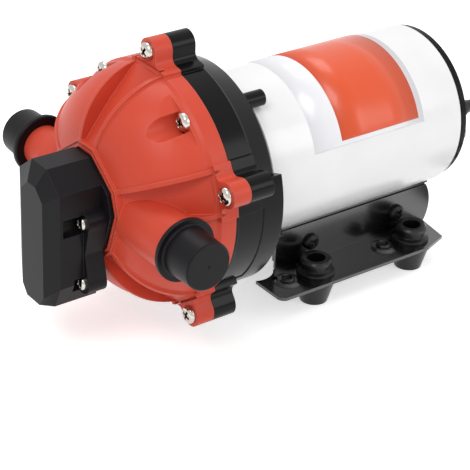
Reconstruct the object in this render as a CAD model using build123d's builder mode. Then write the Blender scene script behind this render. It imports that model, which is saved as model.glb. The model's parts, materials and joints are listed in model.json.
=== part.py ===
"""Five-chamber diaphragm water pump: ribbed pump head, nutating drive, brushed motor, mounting rails."""
from build123d import *
import os
from math import ceil, cos, pi, radians, sin, sqrt, tan

os.makedirs("parts", exist_ok=True)

# Frame: +X runs along the motor to its rear, +Z is up and -Y is the near side. The origin is on the
# floor, in the middle of the four foot bolts.
axis_height = 90
foot_pitch_x = 74.5
foot_pitch_y = 71.8

# Lengths along the motor axis, from the head to the rear
foot_to_housing = 50.5
housing_depth = 36
cover_flange = 11
dome_height = 38.3
collar_grip = 3
motor_length = 150
cap_plate = 4.6

housing_rear_x = -foot_pitch_x / 2 - foot_to_housing
joint_x = housing_rear_x - housing_depth
seat_x = joint_x - cover_flange
front_x = seat_x - dome_height
motor_front_x = housing_rear_x - collar_grip
motor_rear_x = motor_front_x + motor_length
cap_rear_x = motor_rear_x + cap_plate

# Fits shared by all pieces
running_gap = 0.05
fit_gap = 0.1
seat_gap = 0.3
cut_overrun = 2
screw_shank_radius = 2.2
screw_head_radius = 5.2
screw_head_height = 3.2
head_side_share = 0.3
head_bend_share = 0.8
crown_radius_share = 0.5
crown_bend_share = 0.4

# The head has five chambers, with an ear between each pair of domed petals
chambers = 5
pitch_angle = 360 / chambers
ear_angles = [number * pitch_angle for number in range(chambers)]
petal_angles = [(number + 0.5) * pitch_angle for number in range(chambers)]

lengthwise = Plane(origin=(0, 0, axis_height), x_dir=(1, 0, 0), z_dir=(0, -1, 0))
motor_axis = Axis((0, 0, axis_height), (1, 0, 0))


def across(x, angle=0):
    """Plane square to the motor axis, facing the rear. Its own +Y points out at angle from the top."""
    turn = radians(angle)
    return Plane(origin=(x, 0, axis_height), x_dir=(0, cos(turn), sin(turn)), z_dir=(1, 0, 0))


def facing(x, angle=0):
    """The same plane seen from the front of the pump, so that a positive extrusion grows forwards."""
    turn = radians(angle)
    return Plane(origin=(x, 0, axis_height), x_dir=(0, -cos(turn), -sin(turn)), z_dir=(-1, 0, 0))


def polar(radius, angle):
    """Point at radius and angle from the top, towards the near side, in the plane across(x)."""
    return (-radius * sin(radians(angle)), radius * cos(radians(angle)))


def turned(outline):
    """Solid of revolution about the motor axis of a closed outline of (x, radius) points."""
    with BuildPart() as form:
        with BuildSketch(lengthwise):
            with BuildLine():
                Polyline(*outline, close=True)
            make_face()
        revolve(axis=motor_axis)
    return form.part


def tube(x_start, x_end, outer, inner):
    """Plain ring about the motor axis."""
    return turned([(x_start, inner), (x_end, inner), (x_end, outer), (x_start, outer)])


def shifted(plane, u, v):
    """The same plane with its origin moved to the point (u, v) on it."""
    return Plane(origin=plane.from_local_coords((u, v, 0)), x_dir=plane.x_dir, z_dir=plane.z_dir)


def spun(base, outline):
    """Solid of revolution about the normal of a plane, of a closed outline of (radius, height) points."""
    profile = Plane(origin=base.origin, x_dir=base.x_dir, z_dir=base.x_dir.cross(base.z_dir))
    with BuildPart() as form:
        with BuildSketch(profile):
            with BuildLine():
                Polyline(*outline, close=True)
            make_face()
        revolve(axis=Axis(base.origin, base.z_dir))
    return form.part


def pan_screw(seat, length, scale=1):
    """Pan-head screw with its head on the plane seat and its shank behind it."""
    shank = screw_shank_radius * scale
    head = screw_head_radius * scale
    height = screw_head_height * scale
    profile = Plane(origin=seat.origin, x_dir=seat.x_dir, z_dir=seat.x_dir.cross(seat.z_dir))
    with BuildPart() as form:
        with BuildSketch(profile):
            with BuildLine():
                side = height * head_side_share
                shank_corners = [(0, -length), (shank / 2, -length), (shank, shank - length), (shank, 0)]
                Polyline(*shank_corners, (head, 0), (head, side))
                crown = head * crown_radius_share
                shoulder = (head - (head - crown) * crown_bend_share, height * head_bend_share)
                ThreePointArc((head, side), shoulder, (crown, height))
                Polyline((crown, height), (0, height), (0, -length))
            make_face()
        revolve(axis=Axis(seat.origin, seat.z_dir))
    return form.part


def save(piece, name):
    """Labels a finished piece and writes its STEP file."""
    piece.label = name
    export_step(piece, f"parts/{name}.step")


# Pump cover: the red moulding that holds both ports
rim_radius = 69.5
rim_band_rise = 2.6
rim_band_edge = 1.5
chord_distance = 65.6
chord_lean = 10
ear_radius = 78
ear_lobe_radius = 7.3
ear_foot_radius = 71.6
ear_foot_half_width = 15.4
ear_foot_inner = 60
ear_neck_fillet = 4
pocket_screw_radius = 65.2
scoop_radius = 6.4
scoop_draft = 3
dome_flat_radius = 31
dome_shoulder_x = 22
dome_shoulder_radius = 58.8
rib_height = 1.3
rib_width = 2.4
rib_start_half = 6.9
rib_start_radius = 32
rib_end_half = 12.1
rib_end_radius = 68.4
trough_front_depth = 1.4
trough_shoulder_x = 17.5
trough_shoulder_radius = 53
trough_rear_x = 4.5

# Decagonal ring in front, around the foot of the pressure switch
ring_corner_angle = 12.2
ring_outer_radius = 33.8
ring_inner_radius = 29.8
ring_groove_outer = 32.6
ring_groove_inner = 31.4
ring_rise = 1.6
ring_groove_depth = 0.9

# Ports: one on each side, square to the motor axis
port_drop = 1.7
port_tube_radius = 12.5
port_tube_length = 18.8
port_bore_radius = 9
port_bore_end_radius = 8.2
port_mouth_length = 30
port_boss_radius = 16.2
near_boss_rise = 0.2
far_boss_reach = 52
port_root = 30
port_pipe_wall = 2.5
ring_groove_setbacks = (9.5, 4)
o_ring_section = 2.4
o_ring_squeeze = 0.35

# Cavities of the cover: the outlet chamber in the middle and the inlet ring around it
plate_recess_radius = 61
seal_thickness = 1
valve_plate_thickness = 10
diaphragm_rim = 3
plate_recess_depth = seal_thickness + valve_plate_thickness + diaphragm_rim
outlet_radius = 26.5
outlet_front_wall = 4.3
outlet_port_margin = 1
inlet_inner_radius = 29.5
inlet_outer_radius = 51
inlet_deep_x = 24
inlet_bend_x = 20
inlet_bend_radius = 38
inlet_shallow_x = 10.5
sense_hole_radius = 5

outlet_front_x = front_x + outlet_front_wall
near_boss_reach = rim_radius + near_boss_rise
port_reach = near_boss_reach + port_tube_length
port_mouth_end = port_reach - port_mouth_length
trough_wall_radius = ear_radius - ear_lobe_radius
port_x = outlet_front_x + outlet_port_margin + port_bore_radius
port_z = axis_height - port_drop
near_port = Plane(origin=(port_x, 0, port_z), x_dir=(1, 0, 0), z_dir=(0, -1, 0))
far_port = Plane(origin=(port_x, 0, port_z), x_dir=(-1, 0, 0), z_dir=(0, 1, 0))
recess_front_x = joint_x - plate_recess_depth


def dome(front, shoulder, rim):
    """Domed solid of revolution from the front face to the rim, ending at the joint plane."""
    with BuildPart() as form:
        with BuildSketch(lengthwise):
            with BuildLine():
                Line((front[0], 0), front)
                ThreePointArc(front, shoulder, rim)
                Polyline(rim, (joint_x, rim[1]), (joint_x, 0), (front[0], 0))
            make_face()
        revolve(axis=motor_axis)
    return form.part


def ears(x, depth):
    """Five screw ears, each a lobe on a wider foot with hollow corners."""
    with BuildPart() as form:
        for angle in ear_angles:
            with BuildSketch(across(x, angle)) as plan:
                Circle(ear_foot_radius)
                with Locations((0, ear_foot_radius)):
                    foot_height = 2 * (ear_foot_radius - ear_foot_inner)
                    Rectangle(2 * ear_foot_half_width, foot_height, mode=Mode.INTERSECT)
                with Locations((0, (ear_foot_inner + ear_radius) / 2)):
                    Rectangle(2 * ear_lobe_radius, ear_radius - ear_foot_inner)
                with Locations((0, ear_radius)):
                    Circle(ear_lobe_radius)
                neck = sqrt(ear_foot_radius**2 - ear_lobe_radius**2)
                corners = plan.vertices().filter_by_position(Axis.Y, neck - fit_gap, neck + fit_gap)
                fillet(corners, radius=ear_neck_fillet)
            extrude(amount=depth)
    return form.part


def decagon(radius):
    """Corners of the ring's ten-sided outline: short sides face the ears, long sides the petals."""
    turns = [angle + side * ring_corner_angle for angle in ear_angles for side in (-1, 1)]
    return [polar(radius, turn) for turn in turns]


def decagon_prism(radius, x_start, x_end):
    """Solid of the ten-sided outline between two places on the motor axis."""
    with BuildPart() as form:
        with BuildSketch(across(x_start)):
            with BuildLine():
                Polyline(*decagon(radius), close=True)
            make_face()
        extrude(amount=x_end - x_start)
    return form.part


petal_dome = dome(
    (front_x, dome_flat_radius),
    (seat_x - dome_shoulder_x, dome_shoulder_radius),
    (seat_x, rim_radius - rib_height),
)
rib_dome = dome(
    (front_x - rib_height / 2, dome_flat_radius),
    (seat_x - dome_shoulder_x - rib_height * cos(pi / 4), dome_shoulder_radius + rib_height * sin(pi / 4)),
    (seat_x, rim_radius),
)
trough_dome = dome(
    (front_x + trough_front_depth, dome_flat_radius),
    (seat_x - trough_shoulder_x, trough_shoulder_radius),
    (seat_x + trough_rear_x, trough_wall_radius + cut_overrun),
)
rim_band = turned(
    [
        (joint_x, 0),
        (joint_x, rim_radius),
        (seat_x + rim_band_edge, rim_radius),
        (seat_x - rim_band_rise, chord_distance + rim_band_rise / 2),
        (seat_x - rim_band_rise, 0),
    ]
)
cover_ears = ears(seat_x, cover_flange)

with BuildPart() as ribs:
    for angle in ear_angles:
        for side in (-1, 1):
            with BuildSketch(facing(joint_x, angle)):
                with BuildLine():
                    rib_start = (side * rib_start_half, rib_start_radius)
                    Line(rib_start, (side * rib_end_half, rib_end_radius))
                trace(line_width=rib_width)
            extrude(amount=joint_x - front_x + rib_height)
    add(rib_dome, mode=Mode.INTERSECT)

with BuildPart() as troughs:
    for angle in ear_angles:
        with BuildSketch(facing(joint_x, angle)):
            with BuildLine():
                wall_share = (trough_wall_radius - rib_start_radius) / (rib_end_radius - rib_start_radius)
                wall_half = rib_start_half + (rib_end_half - rib_start_half) * wall_share
                Polyline(
                    (-rib_start_half, rib_start_radius),
                    (rib_start_half, rib_start_radius),
                    (wall_half, trough_wall_radius),
                    (-wall_half, trough_wall_radius),
                    close=True,
                )
            make_face()
        extrude(amount=joint_x - front_x + cut_overrun)
    add(trough_dome, mode=Mode.SUBTRACT)

with BuildPart() as inlet_cavity:
    add(
        turned(
            [
                (recess_front_x + cut_overrun, inlet_inner_radius),
                (seat_x - inlet_deep_x, inlet_inner_radius),
                (seat_x - inlet_bend_x, inlet_bend_radius),
                (seat_x - inlet_shallow_x, inlet_outer_radius),
                (recess_front_x + cut_overrun, inlet_outer_radius),
            ]
        )
    )
    with BuildSketch(near_port):
        Circle(port_bore_radius + port_pipe_wall)
    extrude(amount=rim_radius, mode=Mode.SUBTRACT)

with BuildPart() as cover:
    add(petal_dome)
    add(rim_band)
    # Between each pair of ears the dome ends in a flat wall that leans away from the rim band
    for angle in petal_angles:
        with BuildSketch(facing(seat_x - rim_band_rise, angle)):
            with Locations((0, chord_distance + scoop_radius)):
                Rectangle(2 * ear_foot_radius * sin(radians(pitch_angle / 4)), 2 * scoop_radius)
        extrude(amount=dome_height, taper=-chord_lean, mode=Mode.SUBTRACT)
    add(cover_ears)
    add(troughs.part, mode=Mode.SUBTRACT)
    add(ribs.part)
    for port, boss_reach in ((near_port, near_boss_reach), (far_port, far_boss_reach)):
        with BuildSketch(port.offset(port_root)):
            Circle(port_boss_radius)
        extrude(amount=boss_reach - port_root)
    # A scoop round each pocket screw leaves room for the driver
    for angle in petal_angles:
        with BuildSketch(facing(seat_x - rim_band_rise, angle)):
            with Locations((0, pocket_screw_radius)):
                Circle(scoop_radius)
        extrude(amount=dome_height, taper=-scoop_draft, mode=Mode.SUBTRACT)
    for port in (near_port, far_port):
        with BuildSketch(port.offset(port_root)):
            Circle(port_tube_radius)
        extrude(amount=port_reach - port_root)
    ring_groove_x = front_x - ring_rise + ring_groove_depth
    ring_cut_x = front_x - ring_rise - cut_overrun
    add(decagon_prism(ring_outer_radius, front_x - ring_rise, front_x + trough_front_depth + cut_overrun))
    add(decagon_prism(ring_groove_outer, ring_cut_x, ring_groove_x), mode=Mode.SUBTRACT)
    add(decagon_prism(ring_groove_inner, front_x - ring_rise, ring_groove_x))
    add(decagon_prism(ring_inner_radius, ring_cut_x, front_x), mode=Mode.SUBTRACT)
    add(inlet_cavity.part, mode=Mode.SUBTRACT)
    add(tube(recess_front_x, joint_x + cut_overrun, plate_recess_radius, 0), mode=Mode.SUBTRACT)
    add(tube(outlet_front_x, joint_x, outlet_radius, 0), mode=Mode.SUBTRACT)
    add(tube(front_x - cut_overrun, seat_x, sense_hole_radius, 0), mode=Mode.SUBTRACT)
    # Each port is bored straight at its mouth and narrows a little towards the chamber
    for port, inner_end in ((near_port, 0), (far_port, inlet_bend_radius)):
        passage = [
            (0, inner_end),
            (port_bore_end_radius, inner_end),
            (port_bore_radius, port_mouth_end),
            (port_bore_radius, port_reach + cut_overrun),
            (0, port_reach + cut_overrun),
        ]
        add(spun(port, passage), mode=Mode.SUBTRACT)
        for setback in ring_groove_setbacks:
            with BuildSketch(port.offset(port_reach - setback - o_ring_section / 2)):
                Circle(port_tube_radius + cut_overrun)
                Circle(port_tube_radius - o_ring_section + o_ring_squeeze, mode=Mode.SUBTRACT)
            extrude(amount=o_ring_section, mode=Mode.SUBTRACT)
    for ring_radius, angles in ((ear_radius, ear_angles), (pocket_screw_radius, petal_angles)):
        for angle in angles:
            with BuildSketch(across(front_x, angle)):
                with Locations((0, ring_radius)):
                    Circle(screw_shank_radius + fit_gap)
            extrude(amount=joint_x - front_x + cut_overrun, mode=Mode.SUBTRACT)
save(cover.part, "pump_cover")

# Drive housing: the black moulding between the cover and the motor
ear_depth = 15
band_depth = 17
band_chamfer = 2
cone_radius = 62.5
cone_place = 31
collar_wall_thickness = 8.5
collar_edge = 1.2
cheek_radius = 69
cheek_depth = 32
cheek_recess = 1
cheek_recess_frame = 13
cheek_recess_depth = 17
deck_thickness = 4
chamber_pitch_radius = 34
deck_bore_radius = 17.4
cavity_radius = 59.5
cavity_bend = 16
cavity_end_radius = 53
rear_wall = 4
wall_hole_radius = 21
bell_screw_pitch_radius = 31
peg_gap = 0.5
peg_radius = 4.7
peg_length = 10.5
peg_start_angle = 29
peg_count = 4
motor_radius = 49

collar_edge_radius = motor_radius + collar_wall_thickness
peg_pitch_radius = motor_radius + peg_gap + peg_radius
collar_floor_x = housing_rear_x - collar_grip
bell_screw_angles = [peg_start_angle + number * 90 for number in range(peg_count)]
side_cheeks = [(ear_angles[1], ear_angles[2]), (ear_angles[3], ear_angles[4])]


def wedge(x_start, x_end, outer, inner, start, end):
    """Part of a ring about the motor axis, between two angles from the top."""
    reach = 2 * outer
    with BuildPart() as form:
        with BuildSketch(across(x_start)):
            with BuildLine():
                middle = polar(reach, (start + end) / 2)
                Polyline((0, 0), polar(reach, start), middle, polar(reach, end), close=True)
            make_face()
        extrude(amount=x_end - x_start)
        add(tube(x_start, x_end, outer, inner), mode=Mode.INTERSECT)
    return form.part


housing_ears = ears(joint_x, ear_depth)
housing_body = turned(
    [
        (joint_x, 0),
        (joint_x, rim_radius),
        (joint_x + band_depth - band_chamfer, rim_radius),
        (joint_x + band_depth, rim_radius - band_chamfer),
        (joint_x + cone_place, cone_radius),
        (housing_rear_x - collar_edge, collar_edge_radius),
        (housing_rear_x, collar_edge_radius - collar_edge),
        (housing_rear_x, 0),
    ]
)
housing_cavity = turned(
    [
        (joint_x + deck_thickness, 0),
        (joint_x + deck_thickness, cavity_radius),
        (joint_x + cavity_bend, cavity_radius),
        (collar_floor_x - rear_wall, cavity_end_radius),
        (collar_floor_x - rear_wall, 0),
    ]
)

with BuildPart() as housing:
    add(housing_body)
    for start, end in side_cheeks:
        add(wedge(joint_x, joint_x + cheek_depth, cheek_radius, cavity_end_radius, start, end))
    add(housing_ears)
    for start, end in side_cheeks:
        panel_start = start + cheek_recess_frame
        panel_end = end - cheek_recess_frame
        panel_rear = joint_x + cheek_recess_depth + band_chamfer
        panel_floor = rim_radius - cheek_recess
        panel_outer = cheek_radius + cut_overrun
        panel = wedge(joint_x + band_chamfer, panel_rear, panel_outer, panel_floor, panel_start, panel_end)
        add(panel, mode=Mode.SUBTRACT)
    add(housing_cavity, mode=Mode.SUBTRACT)
    with BuildSketch(across(joint_x)):
        for angle in petal_angles:
            with Locations(polar(chamber_pitch_radius, angle)):
                Circle(deck_bore_radius)
    extrude(amount=2 * deck_thickness, mode=Mode.SUBTRACT)
    with BuildSketch(across(collar_floor_x - 2 * rear_wall)):
        Circle(wall_hole_radius)
        for angle in bell_screw_angles:
            with Locations(polar(bell_screw_pitch_radius, angle)):
                Circle(screw_shank_radius + fit_gap)
    extrude(amount=3 * rear_wall, mode=Mode.SUBTRACT)
    with BuildSketch(across(collar_floor_x)):
        Circle(motor_radius + fit_gap)
    extrude(amount=collar_grip + cut_overrun, mode=Mode.SUBTRACT)
    for angle in bell_screw_angles:
        with BuildSketch(across(collar_floor_x - rear_wall)):
            with Locations(polar(peg_pitch_radius, angle)):
                Circle(peg_radius)
        extrude(amount=rear_wall + collar_grip + peg_length)
    for ring_radius, angles, depth in (
        (ear_radius, ear_angles, ear_depth - cut_overrun),
        (pocket_screw_radius, petal_angles, band_depth - cut_overrun),
    ):
        with BuildSketch(across(joint_x)):
            for angle in angles:
                with Locations(polar(ring_radius, angle)):
                    Circle(screw_shank_radius + fit_gap)
        extrude(amount=depth, mode=Mode.SUBTRACT)
save(housing.part, "drive_housing")

# Screws that clamp the cover to the housing, around the ears and in the petals' scoops
with BuildPart() as ear_screws:
    for angle in ear_angles:
        seat = shifted(facing(seat_x, angle), 0, ear_radius)
        add(pan_screw(seat, cover_flange + ear_depth - 2 * cut_overrun))
save(ear_screws.part, "ear_screws")

with BuildPart() as pocket_screws:
    for angle in petal_angles:
        seat = shifted(facing(seat_x - rim_band_rise, angle), 0, pocket_screw_radius)
        add(pan_screw(seat, rim_band_rise + cover_flange + band_depth - 2 * cut_overrun))
save(pocket_screws.part, "pocket_screws")

# Dust caps pushed over the ports, and the ring seals that they slide on
cap_outer_radius = 13.75
cap_end_gap = 2
cap_face_thickness = 2.8
cap_inner_corner = 1
brim_gap = 0.3
brim_thickness = 3
brim_radius = 18.1
brim_lip = 0.8
brim_neck_radius = 14.4
cap_edge = 0.8
dimple_radius = 1.1
dimple_depth = 0.8
cap_bore_radius = port_tube_radius + running_gap
cap_floor_reach = port_reach + cap_end_gap
cap_face_reach = cap_floor_reach + cap_face_thickness
brim_reach = near_boss_reach + brim_gap

for port, name in ((near_port, "near_port_cap"), (far_port, "far_port_cap")):
    cap = spun(
        port,
        [
            (cap_bore_radius, brim_reach),
            (brim_radius - brim_lip, brim_reach),
            (brim_radius, brim_reach + brim_lip),
            (brim_radius, brim_reach + brim_thickness),
            (brim_neck_radius + brim_lip, brim_reach + brim_thickness),
            (brim_neck_radius, brim_reach + brim_thickness + brim_lip),
            (cap_outer_radius, cap_face_reach - cap_edge),
            (cap_outer_radius - cap_edge, cap_face_reach),
            (dimple_radius, cap_face_reach),
            (0, cap_face_reach - dimple_depth),
            (0, cap_floor_reach),
            (cap_bore_radius - cap_inner_corner, cap_floor_reach),
            (cap_bore_radius, cap_floor_reach - cap_inner_corner),
        ],
    )
    save(cap, name)

with BuildPart() as o_rings:
    for port in (near_port, far_port):
        for setback in ring_groove_setbacks:
            inner = port_tube_radius - o_ring_section + o_ring_squeeze
            outer = port_tube_radius - running_gap
            half = (o_ring_section - o_ring_squeeze) / 2
            add(
                spun(
                    port.offset(port_reach - setback),
                    [
                        (inner, -half / 2),
                        (inner + half / 2, -half),
                        (outer - half / 2, -half),
                        (outer, -half / 2),
                        (outer, half / 2),
                        (outer - half / 2, half),
                        (inner + half / 2, half),
                        (inner, half / 2),
                    ],
                )
            )
save(o_rings.part, "port_seal_rings")

# Valve plate with its seal, and the rubber inlet and outlet valves
plate_radius = 60.8
chamber_radius = 16.4
chamber_depth = 6.2
inlet_valve_pitch_radius = 43
inlet_valve_radius = 6
inlet_valve_flap = 0.9
inlet_valve_edge = 0.3
inlet_stem_radius = 1.4
inlet_bulb_radius = 2.2
inlet_bulb_length = 1.6
inlet_hole_ring = 3.9
inlet_hole_radius = 1.3
inlet_hole_count = 6
outlet_hole_pitch_radius = 20.3
outlet_hole_radius = 1.7
outlet_hole_turn = 12
outlet_flap_radius = 5.6
outlet_flap_thickness = 1.2
outlet_hub_radius = 16
outlet_stem_radius = 2.5
outlet_stem_length = 6
seal_outer_radius = 60
seal_inner_radius = 53
seal_ring_width = 2.2

plate_front_x = recess_front_x + seal_thickness
plate_rear_x = plate_front_x + valve_plate_thickness
chamber_floor_x = plate_rear_x - chamber_depth

with BuildPart() as valve_plate:
    add(tube(plate_front_x, plate_rear_x, plate_radius, 0))
    with BuildSketch(across(chamber_floor_x)):
        for angle in petal_angles:
            with Locations(polar(chamber_pitch_radius, angle)):
                Circle(chamber_radius)
    extrude(amount=chamber_depth + cut_overrun, mode=Mode.SUBTRACT)
    with BuildSketch(across(plate_front_x - cut_overrun)):
        for angle in petal_angles:
            for turn in (-outlet_hole_turn, 0, outlet_hole_turn):
                with Locations(polar(outlet_hole_pitch_radius, angle + turn)):
                    Circle(outlet_hole_radius)
            with Locations(polar(inlet_valve_pitch_radius, angle)):
                Circle(inlet_stem_radius + running_gap)
                with PolarLocations(inlet_hole_ring, inlet_hole_count):
                    Circle(inlet_hole_radius)
    extrude(amount=valve_plate_thickness, mode=Mode.SUBTRACT)
    with BuildSketch(across(plate_front_x - cut_overrun)):
        Circle(outlet_stem_radius + running_gap)
    extrude(amount=cut_overrun + outlet_stem_length, mode=Mode.SUBTRACT)
save(valve_plate.part, "valve_plate")

with BuildPart() as head_seal:
    add(tube(recess_front_x, plate_front_x, seal_outer_radius, seal_inner_radius))
    seal_inset = (inlet_inner_radius - outlet_radius - seal_ring_width) / 2
    add(tube(recess_front_x, plate_front_x, inlet_inner_radius - seal_inset, outlet_radius + seal_inset))
save(head_seal.part, "head_seal")

with BuildPart() as inlet_valves:
    for angle in petal_angles:
        add(
            spun(
                shifted(across(chamber_floor_x), *polar(inlet_valve_pitch_radius, angle)),
                [
                    (0, inlet_valve_flap),
                    (inlet_valve_radius / 2, inlet_valve_flap),
                    (inlet_valve_radius, inlet_valve_edge),
                    (inlet_valve_radius, 0),
                    (inlet_stem_radius, 0),
                    (inlet_stem_radius, chamber_depth - valve_plate_thickness),
                    (inlet_bulb_radius, chamber_depth - valve_plate_thickness),
                    (inlet_stem_radius / 2, chamber_depth - valve_plate_thickness - inlet_bulb_length),
                    (0, chamber_depth - valve_plate_thickness - inlet_bulb_length),
                ],
            )
        )
save(inlet_valves.part, "inlet_valves")

with BuildPart() as outlet_valve:
    with BuildSketch(across(plate_front_x - outlet_flap_thickness)):
        Circle(outlet_hub_radius)
        for angle in petal_angles:
            with Locations(polar(outlet_hole_pitch_radius, angle)):
                Circle(outlet_flap_radius)
    extrude(amount=outlet_flap_thickness)
    with BuildSketch(across(plate_front_x)):
        Circle(outlet_stem_radius)
    extrude(amount=outlet_stem_length - fit_gap)
save(outlet_valve.part, "outlet_valve")

# Nutating drive: everything on the wobble plate stands on planes square to a tilted axis
tilt_angle = 3
nutation_x = joint_x - diaphragm_rim / 2
pad_thickness = 1.4
pad_radius = 14.6
collar_radius = 16.2
collar_wall = 1.8
collar_half_height = 3.9
piston_radius = 12.2
piston_thickness = 3
piston_edge = 0.8
piston_screw_radius = 2
piston_screw_head = 4
arm_front = 8.7
arm_thickness = 4
arm_width = 11
arm_rib_width = 3
arm_rib_height = 5
cup_radius = 19.2
cup_back = 23.4
drive_bearing_place = 14.2
drive_bearing_width = 9
drive_bearing_outer = 16
drive_bearing_bore = 7.5
cup_relief_radius = 13.5
cup_relief_place = 13

tilt_direction = Vector(cos(radians(tilt_angle)), 0, sin(radians(tilt_angle)))


def tilted(place):
    """Plane square to the tilted axis, at a distance behind the centre of nutation."""
    centre = Vector(nutation_x, 0, axis_height) + tilt_direction * place
    return Plane(origin=centre, x_dir=(0, 1, 0), z_dir=tilt_direction)


with BuildPart() as diaphragm:
    add(tube(plate_rear_x, joint_x, plate_radius, 0))
    with BuildSketch(across(nutation_x - collar_half_height)):
        for angle in petal_angles:
            with Locations(polar(chamber_pitch_radius, angle)):
                Circle(collar_radius)
    extrude(amount=2 * collar_half_height)
    with BuildSketch(across(nutation_x - 2 * collar_half_height)):
        for angle in petal_angles:
            with Locations(polar(chamber_pitch_radius, angle)):
                Circle(collar_radius - collar_wall)
    extrude(amount=4 * collar_half_height, mode=Mode.SUBTRACT)
    with BuildSketch(tilted(-pad_thickness / 2)):
        for angle in petal_angles:
            with Locations(polar(chamber_pitch_radius, angle)):
                Circle(pad_radius)
                Circle(piston_screw_radius + fit_gap, mode=Mode.SUBTRACT)
    extrude(amount=pad_thickness)
save(diaphragm.part, "diaphragm")

with BuildPart() as pistons:
    for angle in petal_angles:
        front = pad_thickness / 2 + piston_thickness
        add(
            spun(
                shifted(tilted(-front), *polar(chamber_pitch_radius, angle)),
                [
                    (piston_screw_head + fit_gap, 0),
                    (piston_radius - piston_edge, 0),
                    (piston_radius, piston_edge),
                    (piston_radius, piston_thickness),
                    (piston_screw_radius + fit_gap, piston_thickness),
                    (piston_screw_radius + fit_gap, piston_screw_head - piston_screw_radius),
                ],
            )
        )
save(pistons.part, "pistons")

with BuildPart() as piston_screws:
    for angle in petal_angles:
        front = pad_thickness / 2 + piston_thickness
        screw_end = front + arm_front + arm_thickness / 2
        add(
            spun(
                shifted(tilted(-front), *polar(chamber_pitch_radius, angle)),
                [
                    (0, 0),
                    (piston_screw_head, 0),
                    (piston_screw_radius, piston_screw_head - piston_screw_radius),
                    (piston_screw_radius, screw_end - piston_screw_radius),
                    (0, screw_end),
                ],
            )
        )
save(piston_screws.part, "piston_screws")

with BuildPart() as wobble_plate:
    with BuildSketch(tilted(pad_thickness / 2)):
        for angle in petal_angles:
            with Locations(polar(chamber_pitch_radius, angle)):
                Circle(piston_radius)
    extrude(amount=arm_front + arm_thickness - pad_thickness / 2)
    with BuildSketch(tilted(arm_front)):
        Circle(cup_radius)
    extrude(amount=cup_back - arm_front)
    for angle in petal_angles:
        turn = radians(angle)
        arm_side = Vector(tilted(0).x_dir) * cos(turn) + Vector(tilted(0).y_dir) * sin(turn)
        spoke = Plane(origin=tilted(arm_front).origin, x_dir=arm_side, z_dir=tilt_direction)
        with BuildSketch(spoke):
            with Locations((0, chamber_pitch_radius / 2)):
                Rectangle(arm_width, chamber_pitch_radius)
        extrude(amount=arm_thickness)
        with BuildSketch(spoke):
            with Locations((0, chamber_pitch_radius / 2)):
                Rectangle(arm_rib_width, chamber_pitch_radius)
        extrude(amount=arm_thickness + arm_rib_height)
    with BuildSketch(tilted(pad_thickness / 2 - cut_overrun)):
        for angle in petal_angles:
            with Locations(polar(chamber_pitch_radius, angle)):
                Circle(piston_screw_radius + fit_gap)
    extrude(amount=arm_front + arm_thickness, mode=Mode.SUBTRACT)
    with BuildSketch(tilted(drive_bearing_place)):
        Circle(drive_bearing_outer)
    extrude(amount=cup_back, mode=Mode.SUBTRACT)
    with BuildSketch(tilted(cup_relief_place)):
        Circle(cup_relief_radius)
    extrude(amount=cup_back, mode=Mode.SUBTRACT)
save(wobble_plate.part, "wobble_plate")


# Ball bearings: one tilted on the hub, two straight in the ends of the motor
ball_gap = 0.02
groove_share = 0.28


def race(base, back, rim, width, pitch, groove):
    """Ring of a bearing, from its plain back radius to its grooved rim radius."""
    half = sqrt(groove**2 - (pitch - rim) ** 2)
    deepest = pitch - groove if rim < pitch else pitch + groove
    profile = Plane(origin=base.origin, x_dir=base.x_dir, z_dir=base.x_dir.cross(base.z_dir))
    with BuildPart() as ring:
        with BuildSketch(profile):
            with BuildLine():
                front_edge = (rim, width / 2 - half)
                rear_edge = (rim, width / 2 + half)
                Polyline(front_edge, (rim, 0), (back, 0), (back, width), (rim, width), rear_edge)
                ThreePointArc(rear_edge, (deepest, width / 2), front_edge)
            make_face()
        revolve(axis=Axis(base.origin, base.z_dir))
    return ring.part


def bearing(base, bore, outer, width, ball_radius, ball_count):
    """Inner ring, outer ring and balls of a deep-groove bearing whose front face is on the plane base."""
    pitch = (bore + outer) / 2
    land = 2 * ball_radius * groove_share
    groove = ball_radius + ball_gap
    inner = race(base, bore, pitch - land, width, pitch, groove)
    outer_race = race(base, outer, pitch + land, width, pitch, groove)
    with BuildPart() as balls:
        with Locations(base.offset(width / 2)):
            with PolarLocations(pitch, ball_count):
                Sphere(ball_radius)
    return inner, outer_race, balls.part


drive_ball_radius = 2.4
drive_ball_count = 8
inner_ring, outer_ring, balls = bearing(
    tilted(drive_bearing_place),
    drive_bearing_bore,
    drive_bearing_outer,
    drive_bearing_width,
    drive_ball_radius,
    drive_ball_count,
)
save(inner_ring, "drive_bearing_inner")
save(outer_ring, "drive_bearing_outer")
save(balls, "drive_bearing_balls")

# Eccentric hub: a tilted journal on a collar that is clamped to the motor shaft
shaft_radius = 4
hub_front = 13.4
hub_shoulder_radius = 9.3
hub_collar_radius = 12
hub_collar_length = 7.4
hub_collar_gap = 1.6
weight_radius = 19
weight_angle = 150
set_screw_radius = 2

hub_collar_x = nutation_x + cup_back + hub_collar_gap
hub_rear_x = hub_collar_x + hub_collar_length

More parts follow.
